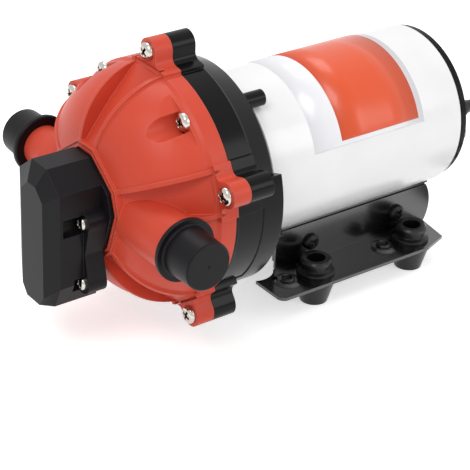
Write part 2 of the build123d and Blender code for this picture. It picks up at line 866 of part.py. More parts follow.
with BuildPart() as hub:
    with BuildSketch(tilted(hub_front)):
        Circle(drive_bearing_bore)
    extrude(amount=drive_bearing_place + drive_bearing_width - hub_front)
    with BuildSketch(tilted(drive_bearing_place + drive_bearing_width)):
        Circle(hub_shoulder_radius)
    extrude(amount=hub_collar_x - nutation_x - drive_bearing_place - drive_bearing_width + cut_overrun)
    with BuildSketch(across(hub_collar_x)):
        Circle(hub_collar_radius)
    extrude(amount=hub_collar_length)
    weight_start = 180 - weight_angle / 2
    weight_end = 180 + weight_angle / 2
    add(wedge(hub_collar_x, hub_rear_x, weight_radius, shaft_radius, weight_start, weight_end))
    with BuildSketch(across(nutation_x)):
        Circle(shaft_radius)
    extrude(amount=hub_rear_x - nutation_x + cut_overrun, mode=Mode.SUBTRACT)
    with BuildSketch(Plane.XY.offset(axis_height)):
        with Locations((hub_collar_x + hub_collar_length / 2, 0)):
            Circle(set_screw_radius)
    extrude(amount=hub_collar_radius + cut_overrun, mode=Mode.SUBTRACT)
save(hub.part, "eccentric_hub")

with BuildPart() as set_screw:
    with BuildSketch(Plane.XY.offset(axis_height + shaft_radius)):
        with Locations((hub_collar_x + hub_collar_length / 2, 0)):
            Circle(set_screw_radius - running_gap)
    extrude(amount=hub_collar_radius - shaft_radius - cut_overrun / 2)
save(set_screw.part, "hub_set_screw")

# Brushed motor: steel shell with two magnets, between a front bell and a rear cap
shell_wall = 3
shell_edge = 2.2
bell_thickness = 5.7
bell_inset = 0.3
bell_boss_radius = 15
bell_lip_radius = 7
bell_boss_reach = 3.4
motor_bearing_outer = 11
motor_bearing_width = 7
motor_ball_radius = 1.9
motor_ball_count = 7
magnet_front = 31
magnet_length = 90
magnet_angle = 140
magnet_thickness = 9
air_gap = 1.1
core_front = 36
core_length = 80
slot_count = 12
slot_width = 6
slot_inner_radius = 20
slot_roof = 2.9
slot_mouth = 2.4
overhang_length = 11
overhang_inner_radius = 18
overhang_inset = 1
commutator_radius = 14
commutator_rear = 12
commutator_length = 18
segment_slit = 0.6
segment_slit_depth = 2.5
cap_inset = 1.2
cap_edge_round = 1.4
spigot_length = 4
through_bolt_angle = 95.4
through_bolt_inset = 3.8
through_bolt_radius = 1.8
brush_plate_inset = 6.5
brush_plate_bore = 16
brush_plate_thickness = 3
brush_length = 14
brush_width = 8
brush_depth = 7
brush_wall = 2
brush_setback = 1.5
guide_inset = 5
guide_inner = 16
spring_strip = 0.5
spring_width = 4.6

shell_inner_radius = motor_radius - shell_wall
magnet_inner_radius = shell_inner_radius - magnet_thickness
core_radius = magnet_inner_radius - air_gap
slot_outer_radius = core_radius - slot_roof
overhang_outer_radius = slot_outer_radius - overhang_inset
cap_radius = motor_radius - cap_inset
through_bolt_pitch_radius = shell_inner_radius - through_bolt_inset
brush_plate_radius = shell_inner_radius - brush_plate_inset
guide_outer = brush_plate_radius - guide_inset
spigot_x = motor_rear_x - spigot_length
bell_front_x = motor_front_x + bell_inset
core_front_x = motor_front_x + core_front
core_rear_x = core_front_x + core_length
rear_bearing_x = spigot_x
through_bolt_angles = (through_bolt_angle, through_bolt_angle + 180)

with BuildPart() as motor_shell:
    add(
        turned(
            [
                (motor_front_x, shell_inner_radius),
                (motor_front_x, motor_radius),
                (motor_rear_x - shell_edge, motor_radius),
                (motor_rear_x, motor_radius - shell_edge),
                (motor_rear_x, shell_inner_radius),
            ]
        )
    )
save(motor_shell.part, "motor_shell")

with BuildPart() as front_bell:
    bell_radius = shell_inner_radius - fit_gap
    bell_rear_x = bell_front_x + bell_thickness
    add(tube(bell_front_x, bell_rear_x, bell_radius, bell_lip_radius))
    add(tube(bell_front_x, bell_rear_x + bell_boss_reach, bell_boss_radius, bell_lip_radius))
    bearing_rear_x = bell_front_x + motor_bearing_width
    add(tube(bell_front_x - cut_overrun, bearing_rear_x, motor_bearing_outer, 0), mode=Mode.SUBTRACT)
    with BuildSketch(across(bell_front_x - cut_overrun)):
        for angle in bell_screw_angles:
            with Locations(polar(bell_screw_pitch_radius, angle)):
                Circle(screw_shank_radius + running_gap)
        for angle in through_bolt_angles:
            with Locations(polar(through_bolt_pitch_radius, angle)):
                Circle(through_bolt_radius + running_gap)
    extrude(amount=bell_thickness + 2 * cut_overrun, mode=Mode.SUBTRACT)
save(front_bell.part, "motor_front_bell")

with BuildPart() as bell_screws:
    for angle in bell_screw_angles:
        seat = shifted(facing(collar_floor_x - rear_wall, angle), 0, bell_screw_pitch_radius)
        add(pan_screw(seat, rear_wall + bell_thickness))
save(bell_screws.part, "motor_bell_screws")

with BuildPart() as magnets:
    magnet_x = motor_front_x + magnet_front
    magnet_outer_radius = shell_inner_radius - running_gap
    for middle in (through_bolt_angle - 90, through_bolt_angle + 90):
        start = middle - magnet_angle / 2
        end = middle + magnet_angle / 2
        add(wedge(magnet_x, magnet_x + magnet_length, magnet_outer_radius, magnet_inner_radius, start, end))
save(magnets.part, "motor_magnets")

with BuildPart() as motor_shaft:
    shaft_front_x = nutation_x + hub_front + seat_gap
    shaft_rear_x = rear_bearing_x + motor_bearing_width - seat_gap
    add(tube(shaft_front_x, shaft_rear_x, shaft_radius, 0))
save(motor_shaft.part, "motor_shaft")

bearing_places = (bell_front_x, rear_bearing_x)
motor_bearings = [
    bearing(
        across(place),
        shaft_radius,
        motor_bearing_outer,
        motor_bearing_width,
        motor_ball_radius,
        motor_ball_count,
    )
    for place in bearing_places
]
for piece, name in enumerate(("motor_bearing_inner", "motor_bearing_outer", "motor_bearing_balls")):
    with BuildPart() as pair:
        for rings in motor_bearings:
            add(rings[piece])
    save(pair.part, name)

with BuildPart() as core:
    add(tube(core_front_x, core_rear_x, core_radius, shaft_radius))
    with BuildSketch(across(core_front_x - cut_overrun)):
        with PolarLocations(0, slot_count):
            with Locations(((slot_inner_radius + slot_outer_radius) / 2, 0)):
                Rectangle(slot_outer_radius - slot_inner_radius, slot_width)
            with Locations((core_radius, 0)):
                Rectangle(2 * (core_radius - slot_outer_radius) + running_gap, slot_mouth)
    extrude(amount=core_length + 2 * cut_overrun, mode=Mode.SUBTRACT)
save(core.part, "armature_core")

with BuildPart() as windings:
    for place in (core_front_x - overhang_length - seat_gap, core_rear_x + seat_gap):
        add(tube(place, place + overhang_length, overhang_outer_radius, overhang_inner_radius))
    with BuildSketch(across(core_front_x - overhang_length / 2)):
        with PolarLocations(0, slot_count):
            with Locations(((slot_inner_radius + slot_outer_radius) / 2, 0)):
                bar_depth = slot_outer_radius - slot_inner_radius - cut_overrun
                Rectangle(bar_depth, slot_width - 2 * seat_gap)
    extrude(amount=core_length + overhang_length)
save(windings.part, "armature_windings")

with BuildPart() as commutator:
    commutator_x = motor_rear_x - commutator_rear - commutator_length
    add(tube(commutator_x, commutator_x + commutator_length, commutator_radius, shaft_radius))
    with BuildSketch(across(commutator_x - cut_overrun)):
        with PolarLocations(commutator_radius, slot_count):
            Rectangle(2 * segment_slit_depth, segment_slit)
    extrude(amount=commutator_length + 2 * cut_overrun, mode=Mode.SUBTRACT)
save(commutator.part, "commutator")

brush_x = commutator_x + commutator_length - brush_depth / 2 - brush_setback
guide_front_x = brush_x - brush_depth / 2 - brush_wall / 2
plate_front = spigot_x - brush_plate_thickness
brush_inner_radius = commutator_radius + running_gap
brush_outer_radius = brush_inner_radius + brush_length


def brush_block(side, inner, outer, x_start, x_end, width):
    """Block square to the motor axis on the near side (-1) or the far side (1)."""
    plane = Plane(origin=(x_start, 0, axis_height), x_dir=(0, 1, 0), z_dir=(1, 0, 0))
    with BuildPart() as block:
        with BuildSketch(plane):
            with Locations((side * (inner + outer) / 2, 0)):
                Rectangle(outer - inner, width)
        extrude(amount=x_end - x_start)
    return block.part


with BuildPart() as brush_holder:
    add(tube(plate_front, spigot_x, brush_plate_radius, brush_plate_bore))
    for side in (-1, 1):
        guide_width = brush_width + 2 * brush_wall
        add(brush_block(side, guide_inner, guide_outer, guide_front_x, plate_front, guide_width))
    for side in (-1, 1):
        slot_end = guide_outer - brush_wall / 2
        slot_front = brush_x - brush_depth / 2 - fit_gap
        slot_rear = brush_x + brush_depth / 2 + fit_gap
        slot = brush_block(side, commutator_radius, slot_end, slot_front, slot_rear, brush_width + 2 * fit_gap)
        add(slot, mode=Mode.SUBTRACT)
save(brush_holder.part, "brush_holder")

with BuildPart() as brushes:
    for side in (-1, 1):
        front = brush_x - brush_depth / 2
        add(brush_block(side, brush_inner_radius, brush_outer_radius, front, front + brush_depth, brush_width))
save(brushes.part, "brushes")

with BuildPart() as brush_springs:
    for side in (-1, 1):
        spring_start = (brush_x - spring_width / 2, 0, axis_height)
        plane = Plane(origin=spring_start, x_dir=(0, side, 0), z_dir=(1, 0, 0))
        with BuildSketch(plane):
            with BuildLine():
                near = brush_outer_radius + spring_strip / 2 + running_gap
                far = guide_outer - brush_wall / 2 - spring_strip / 2 - running_gap
                half = brush_width / 2 - spring_strip
                ThreePointArc((far, -half), (near, 0), (far, half))
            trace(line_width=spring_strip)
        extrude(amount=spring_width)
save(brush_springs.part, "brush_springs")

# Rear cap, with the gland of the power lead and the heads of the two through bolts
gland_inset = 7.8
gland_rise = 11
gland_hole_radius = 3.3
gland_flange_radius = 5
gland_flange_thickness = 2
gland_root_radius = 4.4
gland_tip_radius = 3.4
gland_reach = 9
lead_radius = 2.5

gland_y = gland_inset - cap_radius
gland_spot = (cap_rear_x, gland_y, axis_height + gland_rise)
gland_plane = Plane(origin=gland_spot, x_dir=(0, 1, 0), z_dir=(1, 0, 0))

with BuildPart() as rear_cap:
    add(
        turned(
            [
                (spigot_x, 0),
                (spigot_x, shell_inner_radius - fit_gap),
                (motor_rear_x, shell_inner_radius - fit_gap),
                (motor_rear_x, cap_radius),
                (cap_rear_x - cap_edge_round, cap_radius),
                (cap_rear_x, cap_radius - cap_edge_round),
                (cap_rear_x, 0),
            ]
        )
    )
    bearing_rear_x = rear_bearing_x + motor_bearing_width
    add(tube(spigot_x - cut_overrun, bearing_rear_x, motor_bearing_outer, 0), mode=Mode.SUBTRACT)
    with BuildSketch(across(spigot_x - cut_overrun)):
        for angle in through_bolt_angles:
            with Locations(polar(through_bolt_pitch_radius, angle)):
                Circle(through_bolt_radius + fit_gap)
        with Locations((gland_y, gland_rise)):
            Circle(gland_hole_radius)
    extrude(amount=cap_rear_x - spigot_x + 2 * cut_overrun, mode=Mode.SUBTRACT)
save(rear_cap.part, "motor_rear_cap")

with BuildPart() as through_bolts:
    for angle in through_bolt_angles:
        seat = shifted(across(cap_rear_x, angle), 0, through_bolt_pitch_radius)
        bolt_scale = through_bolt_radius / screw_shank_radius
        add(pan_screw(seat, cap_rear_x - bell_front_x - cut_overrun, bolt_scale))
save(through_bolts.part, "motor_through_bolts")

cable_gland = spun(
    gland_plane,
    [
        (lead_radius, spigot_x - cap_rear_x),
        (gland_hole_radius - running_gap, spigot_x - cap_rear_x),
        (gland_hole_radius - running_gap, 0),
        (gland_flange_radius, 0),
        (gland_flange_radius, gland_flange_thickness),
        (gland_root_radius, gland_flange_thickness),
        (gland_tip_radius, gland_reach),
        (lead_radius, gland_reach),
    ],
)
save(cable_gland, "cable_gland")

# Power lead: it leaves the gland, drops to the floor and ends in a flat coil of two turns. Its corners
# are given by their distance behind the rear cap and beside the gland, and by their share of the drop.
lead_course = [
    (2.6, 0, 1),
    (18.6, 0, 1),
    (32.5, 0.4, 0.919),
    (40.7, 2, 0.777),
    (43.6, 9, 0.518),
    (43.1, 13, 0.259),
    (42.1, 5.5, 0.096),
    (41.1, -8.5, 0),
    (41.1, -25, 0),
]
lead_drop = axis_height + gland_rise - lead_radius
lead_points = [
    (cap_rear_x + behind, gland_y + beside, lead_radius + share * lead_drop)
    for behind, beside, share in lead_course
]
corner_share = 0.45
coil_radius = 30
coil_turn_step = 6.5
coil_half_turns = 4
core_end_radius = 0.9
core_end_rise = 1.1
core_end_length = 5


def corner_radii(points):
    """Radius of each corner: as large as the shorter of its two runs allows."""
    radii = []
    for before, corner, after in zip(points, points[1:], points[2:]):
        arriving = Vector(corner) - Vector(before)
        leaving = Vector(after) - Vector(corner)
        turn = radians(arriving.get_angle(leaving))
        radii.append(corner_share * min(arriving.length, leaving.length) / tan(turn / 2))
    return radii


with BuildPart() as power_lead:
    with BuildLine() as lead_path:
        FilletPolyline(*lead_points, radius=corner_radii(lead_points))
    with BuildSketch(Plane(origin=lead_points[0], z_dir=(1, 0, 0))):
        Circle(lead_radius)
    sweep(path=lead_path.wire())
save(power_lead.part, "power_lead")
lead_length = lead_path.wire().length
print("lead corner radii", [round(radius, 1) for radius in corner_radii(lead_points)])
print("lead volume over section times length", power_lead.part.volume / (pi * lead_radius**2 * lead_length))

coil_start = Vector(*lead_points[-1])
coil_middle_y = coil_start.Y - 2 * lead_radius

with BuildPart() as lead_coil:
    with BuildLine() as coil_path:
        place = coil_start.X
        Line(coil_start, (place, coil_middle_y, lead_radius))
        side = 1
        radius = coil_radius
        for half_turn in range(coil_half_turns):
            far_place = place + side * 2 * radius
            top = (place + side * radius, coil_middle_y - side * radius, lead_radius)
            ThreePointArc((place, coil_middle_y, lead_radius), top, (far_place, coil_middle_y, lead_radius))
            place = far_place
            side = -side
            radius -= coil_turn_step / 2
        end = Vector(place + radius, coil_middle_y - radius, lead_radius)
        middle = Vector(place + radius, coil_middle_y, lead_radius)
        quarter_middle = middle + Vector(-radius * sin(pi / 4), -radius * sin(pi / 4), 0)
        ThreePointArc((place, coil_middle_y, lead_radius), quarter_middle, end)
        tail = end + Vector(2 * lead_radius, 0, 0)
        Line(end, tail)
    with BuildSketch(Plane(origin=coil_start, z_dir=(0, -1, 0))):
        Circle(lead_radius)
    sweep(path=coil_path.wire())
save(lead_coil.part, "power_lead_coil")

coil_length = coil_path.wire().length
sample_count = ceil(coil_length)
samples = [coil_path.wire().position_at(number / sample_count) for number in range(sample_count + 1)]
turn_length = 2 * pi * radius
spacing = min(
    (samples[first] - samples[second]).length
    for first in range(sample_count)
    for second in range(first + ceil(turn_length / 2), sample_count + 1)
)
print("coil least gap", spacing - 2 * lead_radius)
print("lead length", lead_length + coil_length)

with BuildPart() as core_ends:
    for rise in (-core_end_rise, core_end_rise):
        with BuildSketch(Plane(origin=tail + Vector(0, 0, rise), z_dir=(1, 0, 0))):
            Circle(core_end_radius)
        extrude(amount=core_end_length)
save(core_ends.part, "lead_core_ends")

# Base: a bent bracket under the motor, and a rail with two rubber feet on each side of it
sheet = 1.5
bracket_half_width = 23.5
leg_outer_y = 20.9
rail_bottom = 16.5
rail_flange = 2
rail_clearance = 3.1
rail_front_overhang = 20
rail_rear_overhang = 22
rail_corner = 4
rail_rear_bulge = 4
flange_front_overhang = 36.5
flange_front_inner_y = 26
flange_outer_y = 51
flange_chamfer_front = 1.6
flange_chamfer_rear = 18.4
flange_chamfer_y = 45
flange_corner = 5
rail_screw_places = (-31, 35.8)
rail_screw_height_share = 0.478
rail_screw_leg_margin = 6.4
rail_screw_length = 5
slot_places = (-58.2, 15.4)
slot_ring_radius = 5
slot_hole_radius = 2.8
slot_ring_rise = 0.8
foot_waist_radius = 6.8

rail_front_x = -foot_pitch_x / 2 - rail_front_overhang
rail_rear_x = foot_pitch_x / 2 + rail_rear_overhang
flange_top = rail_bottom + rail_flange
rail_outer_y = leg_outer_y + sheet + fit_gap
rail_top = axis_height - sqrt(motor_radius**2 - rail_outer_y**2) - rail_clearance
rail_screw_height = flange_top + rail_screw_height_share * (rail_top - flange_top)
leg_bottom = rail_screw_height - rail_screw_leg_margin

with BuildPart() as bracket:
    with BuildSketch(Plane.YZ.offset(rail_front_x)):
        with Locations((0, axis_height)):
            Circle(motor_radius + sheet)
        with Locations((0, axis_height - motor_radius)):
            Rectangle(2 * bracket_half_width, motor_radius, mode=Mode.INTERSECT)
        leg_height = axis_height - sqrt(motor_radius**2 - leg_outer_y**2) - leg_bottom
        for side in (-1, 1):
            with Locations((side * (leg_outer_y - sheet / 2), leg_bottom + leg_height / 2)):
                Rectangle(sheet, leg_height)
        with Locations((0, axis_height)):
            Circle(motor_radius, mode=Mode.SUBTRACT)
    extrude(amount=rail_rear_x - rail_front_x)
    with BuildSketch(Plane.XZ.offset(-rail_outer_y)):
        for place in rail_screw_places:
            with Locations((place, rail_screw_height)):
                Circle(screw_shank_radius + fit_gap)
    extrude(amount=2 * rail_outer_y, mode=Mode.SUBTRACT)
save(bracket.part, "motor_bracket")


def rail(side):
    """L-shaped rail on the near side (-1) or the far side (1), with its flange turned outwards."""
    flange_front_x = -foot_pitch_x / 2 - flange_front_overhang
    chamfer_front = foot_pitch_x / 2 + flange_chamfer_front
    chamfer_rear = foot_pitch_x / 2 + flange_chamfer_rear
    inner_y = rail_outer_y - sheet
    with BuildPart() as form:
        with BuildSketch(Plane.XZ.offset(-side * inner_y)) as plate:
            with BuildLine():
                bulge = (rail_rear_x + rail_rear_bulge, (flange_top + rail_top) / 2)
                ThreePointArc((rail_rear_x, rail_bottom), bulge, (rail_rear_x, rail_top))
                Polyline(
                    (rail_rear_x, rail_top),
                    (rail_front_x, rail_top),
                    (rail_front_x, rail_bottom),
                    (rail_rear_x, rail_bottom),
                )
            make_face()
            fillet(plate.vertices().group_by(Axis.Z)[-1].sort_by(Axis.X)[0], radius=rail_corner)
        extrude(amount=-side * sheet)
        with BuildSketch(Plane.XY.offset(rail_bottom)) as flange:
            with BuildLine():
                corner = (flange_front_x, side * flange_front_inner_y)
                bend = (rail_front_x - rail_corner / 2, side * (rail_outer_y + rail_corner / 4))
                Line((rail_front_x, side * inner_y), (rail_rear_x, side * inner_y))
                Line((rail_rear_x, side * inner_y), (chamfer_rear, side * flange_chamfer_y))
                Line((chamfer_rear, side * flange_chamfer_y), (chamfer_front, side * flange_outer_y))
                Line((chamfer_front, side * flange_outer_y), (flange_front_x, side * flange_outer_y))
                Line((flange_front_x, side * flange_outer_y), corner)
                ThreePointArc(corner, bend, (rail_front_x, side * inner_y))
            make_face()
            front_range = (flange_front_x - fit_gap, flange_front_x + fit_gap)
            front_corners = flange.vertices().filter_by_position(Axis.X, *front_range)
            fillet(front_corners.sort_by(Axis.Y)[0 if side < 0 else -1], radius=flange_corner)
            for place in (-foot_pitch_x / 2, foot_pitch_x / 2):
                with Locations((place, side * foot_pitch_y / 2)):
                    Circle(foot_waist_radius, mode=Mode.SUBTRACT)
        extrude(amount=rail_flange)
        with BuildSketch(Plane.XY.offset(flange_top)):
            for place in slot_places:
                with Locations((place, side * foot_pitch_y / 2)):
                    Circle(slot_ring_radius)
        extrude(amount=slot_ring_rise)
        with BuildSketch(Plane.XY.offset(rail_bottom)):
            for place in slot_places:
                with Locations((place, side * foot_pitch_y / 2)):
                    Circle(slot_hole_radius)
        extrude(amount=2 * rail_flange, mode=Mode.SUBTRACT)
        with BuildSketch(Plane.XZ.offset(-side * inner_y)):
            for place in rail_screw_places:
                with Locations((place, rail_screw_height)):
                    Circle(screw_shank_radius + fit_gap)
        extrude(amount=-side * sheet, mode=Mode.SUBTRACT)
    return form.part


save(rail(-1), "near_rail")
save(rail(1), "far_rail")

with BuildPart() as rail_screws:
    for side in (-1, 1):
        for place in rail_screw_places:
            spot = (place, side * rail_outer_y, rail_screw_height)
            seat = Plane(origin=spot, x_dir=(1, 0, 0), z_dir=(0, side, 0))
            add(pan_screw(seat, rail_screw_length))
save(rail_screws.part, "rail_screws")

# Rubber feet: each clips into its hole in the rail and has a deep well for the bolt's washer
foot_base_radius = 8.4
foot_wide_radius = 12
foot_ring_radius = 9.5
foot_ring_top = 28
foot_ring_bottom = 24.4
foot_ring_edge = 1.2
foot_neck_radius = 8.4
foot_collar_radius = 11.3
foot_collar_top = 21.4
foot_shoulder = 3
foot_well_radius = 5.5
foot_well_floor = 11
foot_bolt_radius = 2.75

for number, (x_side, y_side) in enumerate(((-1, -1), (1, -1), (-1, 1), (1, 1))):
    foot_plane = Plane(origin=(x_side * foot_pitch_x / 2, y_side * foot_pitch_y / 2, 0))
    foot = spun(
        foot_plane,
        [
            (foot_bolt_radius, 0),
            (foot_base_radius, 0),
            (foot_wide_radius, rail_bottom - foot_shoulder),
            (foot_wide_radius, rail_bottom),
            (foot_waist_radius - running_gap, rail_bottom),
            (foot_waist_radius - running_gap, flange_top),
            (foot_collar_radius, flange_top),
            (foot_collar_radius, foot_collar_top - foot_ring_edge),
            (foot_neck_radius, foot_collar_top),
            (foot_neck_radius, foot_ring_bottom),
            (foot_ring_radius, foot_ring_bottom + foot_ring_edge / 2),
            (foot_ring_radius, foot_ring_top - foot_ring_edge),
            (foot_ring_radius - foot_ring_edge, foot_ring_top),
            (foot_well_radius, foot_ring_top),
            (foot_well_radius, foot_well_floor),
            (foot_bolt_radius, foot_well_floor),
        ],
    )
    save(foot, f"rubber_foot_{number + 1}")

# Pressure switch on the nose of the cover
switch_plate_radius = 29.3
switch_plate_thickness = 3.7
switch_box_length = 26.2
switch_nose_length = 5
switch_top = 29
switch_top_half = 7.5
switch_side_top = 18.5
switch_half = 20.5
switch_side_bottom = -38
switch_bottom_half = 14.6
switch_bottom = -51.5
nose_top = 18.3
nose_top_half = 4
nose_side_top = 11.5
nose_half = 11
nose_side_bottom = -47
nose_bottom_half = 6.5
nose_bottom = -53
switch_screw_y = 19.5
upper_drop = -2
lower_drop = -39
switch_screw_scale = 0.7
switch_ear_length = 11.5
switch_ear_radius = 6.5
switch_groove_radius = 5.5
switch_pocket_radius = 4.4
switch_pocket_length = 6
switch_waist_half = 22
switch_well_half = 12
switch_well_top = 15
switch_well_bottom = -40
switch_wall = 3
switch_seal_radius = 13.8
switch_seal_thickness = 1
switch_seal_recess = 14
plunger_disc_radius = 9
plunger_disc_thickness = 1.2
plunger_stem_radius = 2.5
plunger_stem_length = 8
plunger_room = 1.4
microswitch_width = 16
microswitch_height = 28
microswitch_depth = 9
spring_inner_radius = 3.2
spring_outer_radius = 4.6

switch_plate_x = front_x - switch_plate_thickness
switch_box_x = switch_plate_x - switch_box_length
switch_nose_x = switch_box_x - switch_nose_length
switch_ear_x = switch_plate_x - switch_ear_length
switch_screw_points = [(side * switch_screw_y, drop) for side in (-1, 1) for drop in (upper_drop, lower_drop)]


def switch_outline(x, top, top_half, side_top, half, side_bottom, bottom_half, bottom):
    """Eight-sided outline in the plane across(x), from its upright places and half widths."""
    right = [(top_half, top), (half, side_top), (half, side_bottom), (bottom_half, bottom)]
    left = [(-y, z) for y, z in reversed(right)]
    with BuildSketch(across(x)) as outline:
        with BuildLine():
            Polyline(*right, *left, close=True)
        make_face()
    return outline.sketch


with BuildPart() as switch_base:
    add(decagon_prism(switch_plate_radius, switch_plate_x, front_x))
    with BuildSketch(across(switch_plate_x - switch_seal_thickness)):
        Circle(switch_seal_recess)
    extrude(amount=2 * switch_seal_thickness + fit_gap, mode=Mode.SUBTRACT)
    with BuildSketch(across(switch_plate_x)):
        Circle(sense_hole_radius)
        with Locations(*switch_screw_points):
            Circle(screw_shank_radius * switch_screw_scale + fit_gap)
    extrude(amount=switch_plate_thickness + cut_overrun, mode=Mode.SUBTRACT)
save(switch_base.part, "switch_base")

with BuildPart() as switch_cover:
    box = switch_outline(
        switch_box_x,
        switch_top,
        switch_top_half,
        switch_side_top,
        switch_half,
        switch_side_bottom,
        switch_bottom_half,
        switch_bottom,
    )
    nose = switch_outline(
        switch_nose_x,
        nose_top,
        nose_top_half,
        nose_side_top,
        nose_half,
        nose_side_bottom,
        nose_bottom_half,
        nose_bottom,
    )
    extrude(box, amount=switch_box_length)
    loft([nose, box], ruled=True)
    # The driver reaches the upper screws along a groove, and the lower ones from a short pocket
    with BuildSketch(across(switch_box_x + cut_overrun)):
        with Locations(*[point for point in switch_screw_points if point[1] == upper_drop]):
            Circle(switch_groove_radius)
    extrude(amount=switch_box_length - switch_ear_length - cut_overrun, mode=Mode.SUBTRACT)
    with BuildSketch(across(switch_ear_x - switch_pocket_length)):
        with Locations(*[point for point in switch_screw_points if point[1] == lower_drop]):
            Circle(switch_pocket_radius)
    extrude(amount=switch_pocket_length, mode=Mode.SUBTRACT)
    with BuildSketch(across(switch_ear_x)):
        for side in (-1, 1):
            with BuildLine():
                Polyline(
                    (0, upper_drop + switch_ear_radius),
                    (side * switch_screw_y, upper_drop + switch_ear_radius),
                    (side * (switch_screw_y + switch_ear_radius), upper_drop),
                    (side * switch_waist_half, (upper_drop + lower_drop) / 2),
                    (side * (switch_screw_y + switch_ear_radius), lower_drop),
                    (side * switch_screw_y, lower_drop - switch_ear_radius),
                    (0, lower_drop - switch_ear_radius),
                    close=True,
                )
            make_face()
        with Locations(*switch_screw_points):
            Circle(switch_ear_radius)
    extrude(amount=switch_ear_length)
    with BuildSketch(across(switch_nose_x + switch_wall)):
        well_height = switch_well_top - switch_well_bottom
        with Locations((0, (switch_well_top + switch_well_bottom) / 2)):
            Rectangle(2 * switch_well_half, well_height)
    extrude(amount=switch_plate_x - switch_nose_x, mode=Mode.SUBTRACT)
    with BuildSketch(across(switch_ear_x)):
        with Locations(*switch_screw_points):
            Circle(screw_shank_radius * switch_screw_scale + fit_gap)
    extrude(amount=switch_ear_length, mode=Mode.SUBTRACT)
save(switch_cover.part, "switch_cover")

with BuildPart() as switch_screws:
    for point in switch_screw_points:
        seat = shifted(facing(switch_ear_x), -point[0], point[1])
        add(pan_screw(seat, switch_ear_length + switch_plate_thickness - seat_gap, switch_screw_scale))
save(switch_screws.part, "switch_screws")

seal_front_x = switch_plate_x + fit_gap
with BuildPart() as switch_seal:
    add(tube(seal_front_x, seal_front_x + switch_seal_thickness, switch_seal_radius, 0))
save(switch_seal.part, "switch_diaphragm")

plunger_x = switch_plate_x - seat_gap - plunger_disc_thickness
stem_end_x = plunger_x - plunger_stem_length
with BuildPart() as plunger:
    add(tube(plunger_x, plunger_x + plunger_disc_thickness, plunger_disc_radius, 0))
    add(tube(stem_end_x, plunger_x, plunger_stem_radius, 0))
save(plunger.part, "switch_plunger")

microswitch_x = stem_end_x - plunger_room
with BuildPart() as microswitch:
    with BuildSketch(across(microswitch_x - microswitch_depth)):
        Rectangle(microswitch_width, microswitch_height)
    extrude(amount=microswitch_depth)
save(microswitch.part, "microswitch")

with BuildPart() as switch_spring:
    add(tube(microswitch_x, plunger_x, spring_outer_radius, spring_inner_radius))
save(switch_spring.part, "switch_spring")
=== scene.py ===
# %% [markdown]
# # A diaphragm water pump, drawn over its CAD model
#
# The pump stands on four rubber feet. At the left is an orange-red ribbed head with a black pressure
# switch on its nose and a capped port on each side. A black housing joins it to a white motor, which
# sits on black steel rails.
#
# The CAD model already has every part with a real size, so this script keeps those solids. It adds
# what a solid model leaves out: the finish of each material, the cross recesses of the screws, the
# pressed dishes of the rails, the label on the motor and the soft line of the power lead.

# %% Load the frame
import json

import bpy
import numpy as np
from mathutils import Matrix, Vector


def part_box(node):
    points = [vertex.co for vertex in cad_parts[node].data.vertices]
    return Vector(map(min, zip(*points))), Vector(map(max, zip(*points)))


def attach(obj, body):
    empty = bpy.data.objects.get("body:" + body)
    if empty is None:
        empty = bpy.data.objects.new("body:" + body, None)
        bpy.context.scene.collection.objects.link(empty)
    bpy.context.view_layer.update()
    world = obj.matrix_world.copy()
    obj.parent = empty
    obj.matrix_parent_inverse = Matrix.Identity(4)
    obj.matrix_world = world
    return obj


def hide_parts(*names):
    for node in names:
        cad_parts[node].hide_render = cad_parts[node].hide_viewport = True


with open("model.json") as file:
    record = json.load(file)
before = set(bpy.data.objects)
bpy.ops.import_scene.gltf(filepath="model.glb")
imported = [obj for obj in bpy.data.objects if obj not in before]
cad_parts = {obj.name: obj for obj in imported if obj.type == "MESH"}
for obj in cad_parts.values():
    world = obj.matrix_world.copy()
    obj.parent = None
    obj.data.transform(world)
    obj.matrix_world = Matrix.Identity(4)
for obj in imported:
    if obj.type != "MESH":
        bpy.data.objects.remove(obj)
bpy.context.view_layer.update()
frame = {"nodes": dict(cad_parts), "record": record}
nodes = frame["nodes"]
print("CAD nodes:", len(nodes))

# %% Measures shared by the cells
MM = 0.001
AXIS_HEIGHT = 90 * MM
CHAMBERS = 5

shell_low, shell_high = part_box("motor_shell")
motor_radius = (shell_high.y - shell_low.y) / 2
print("motor radius in mm:", round(motor_radius / MM, 1))

# %% [markdown]
# ## The camera
#
# A product photograph is taken from about a metre away with a long lens, so that a round motor keeps
# its round look. The camera is placed in real metres. A lens of 134 mm makes the upright lines almost
# parallel, and the horizon is tipped by a small roll, as in the photograph.

# %% Camera
LENS = 133.7
SENSOR_WIDTH = 36
NEAREST_VISIBLE = 0.05
camera_data = bpy.data.cameras.new("camera")
camera_data.lens = LENS
camera_data.sensor_width = SENSOR_WIDTH
camera_data.clip_start = NEAREST_VISIBLE
camera = bpy.data.objects.new("camera", camera_data)
bpy.context.scene.collection.objects.link(camera)

camera_place = Vector((-0.61905, -0.70789, 0.54195))
camera_target = Vector((-0.11415, -0.05630, 0.07610))
camera_roll = np.radians(2.63)
looking = (camera_target - camera_place).to_track_quat("-Z", "Y").to_matrix().to_4x4()
camera.matrix_world = Matrix.Translation(camera_place) @ looking @ Matrix.Rotation(camera_roll, 4, "Z")
bpy.context.scene.camera = camera
print("camera is", round((camera_target - camera_place).length, 3), "m from its target")
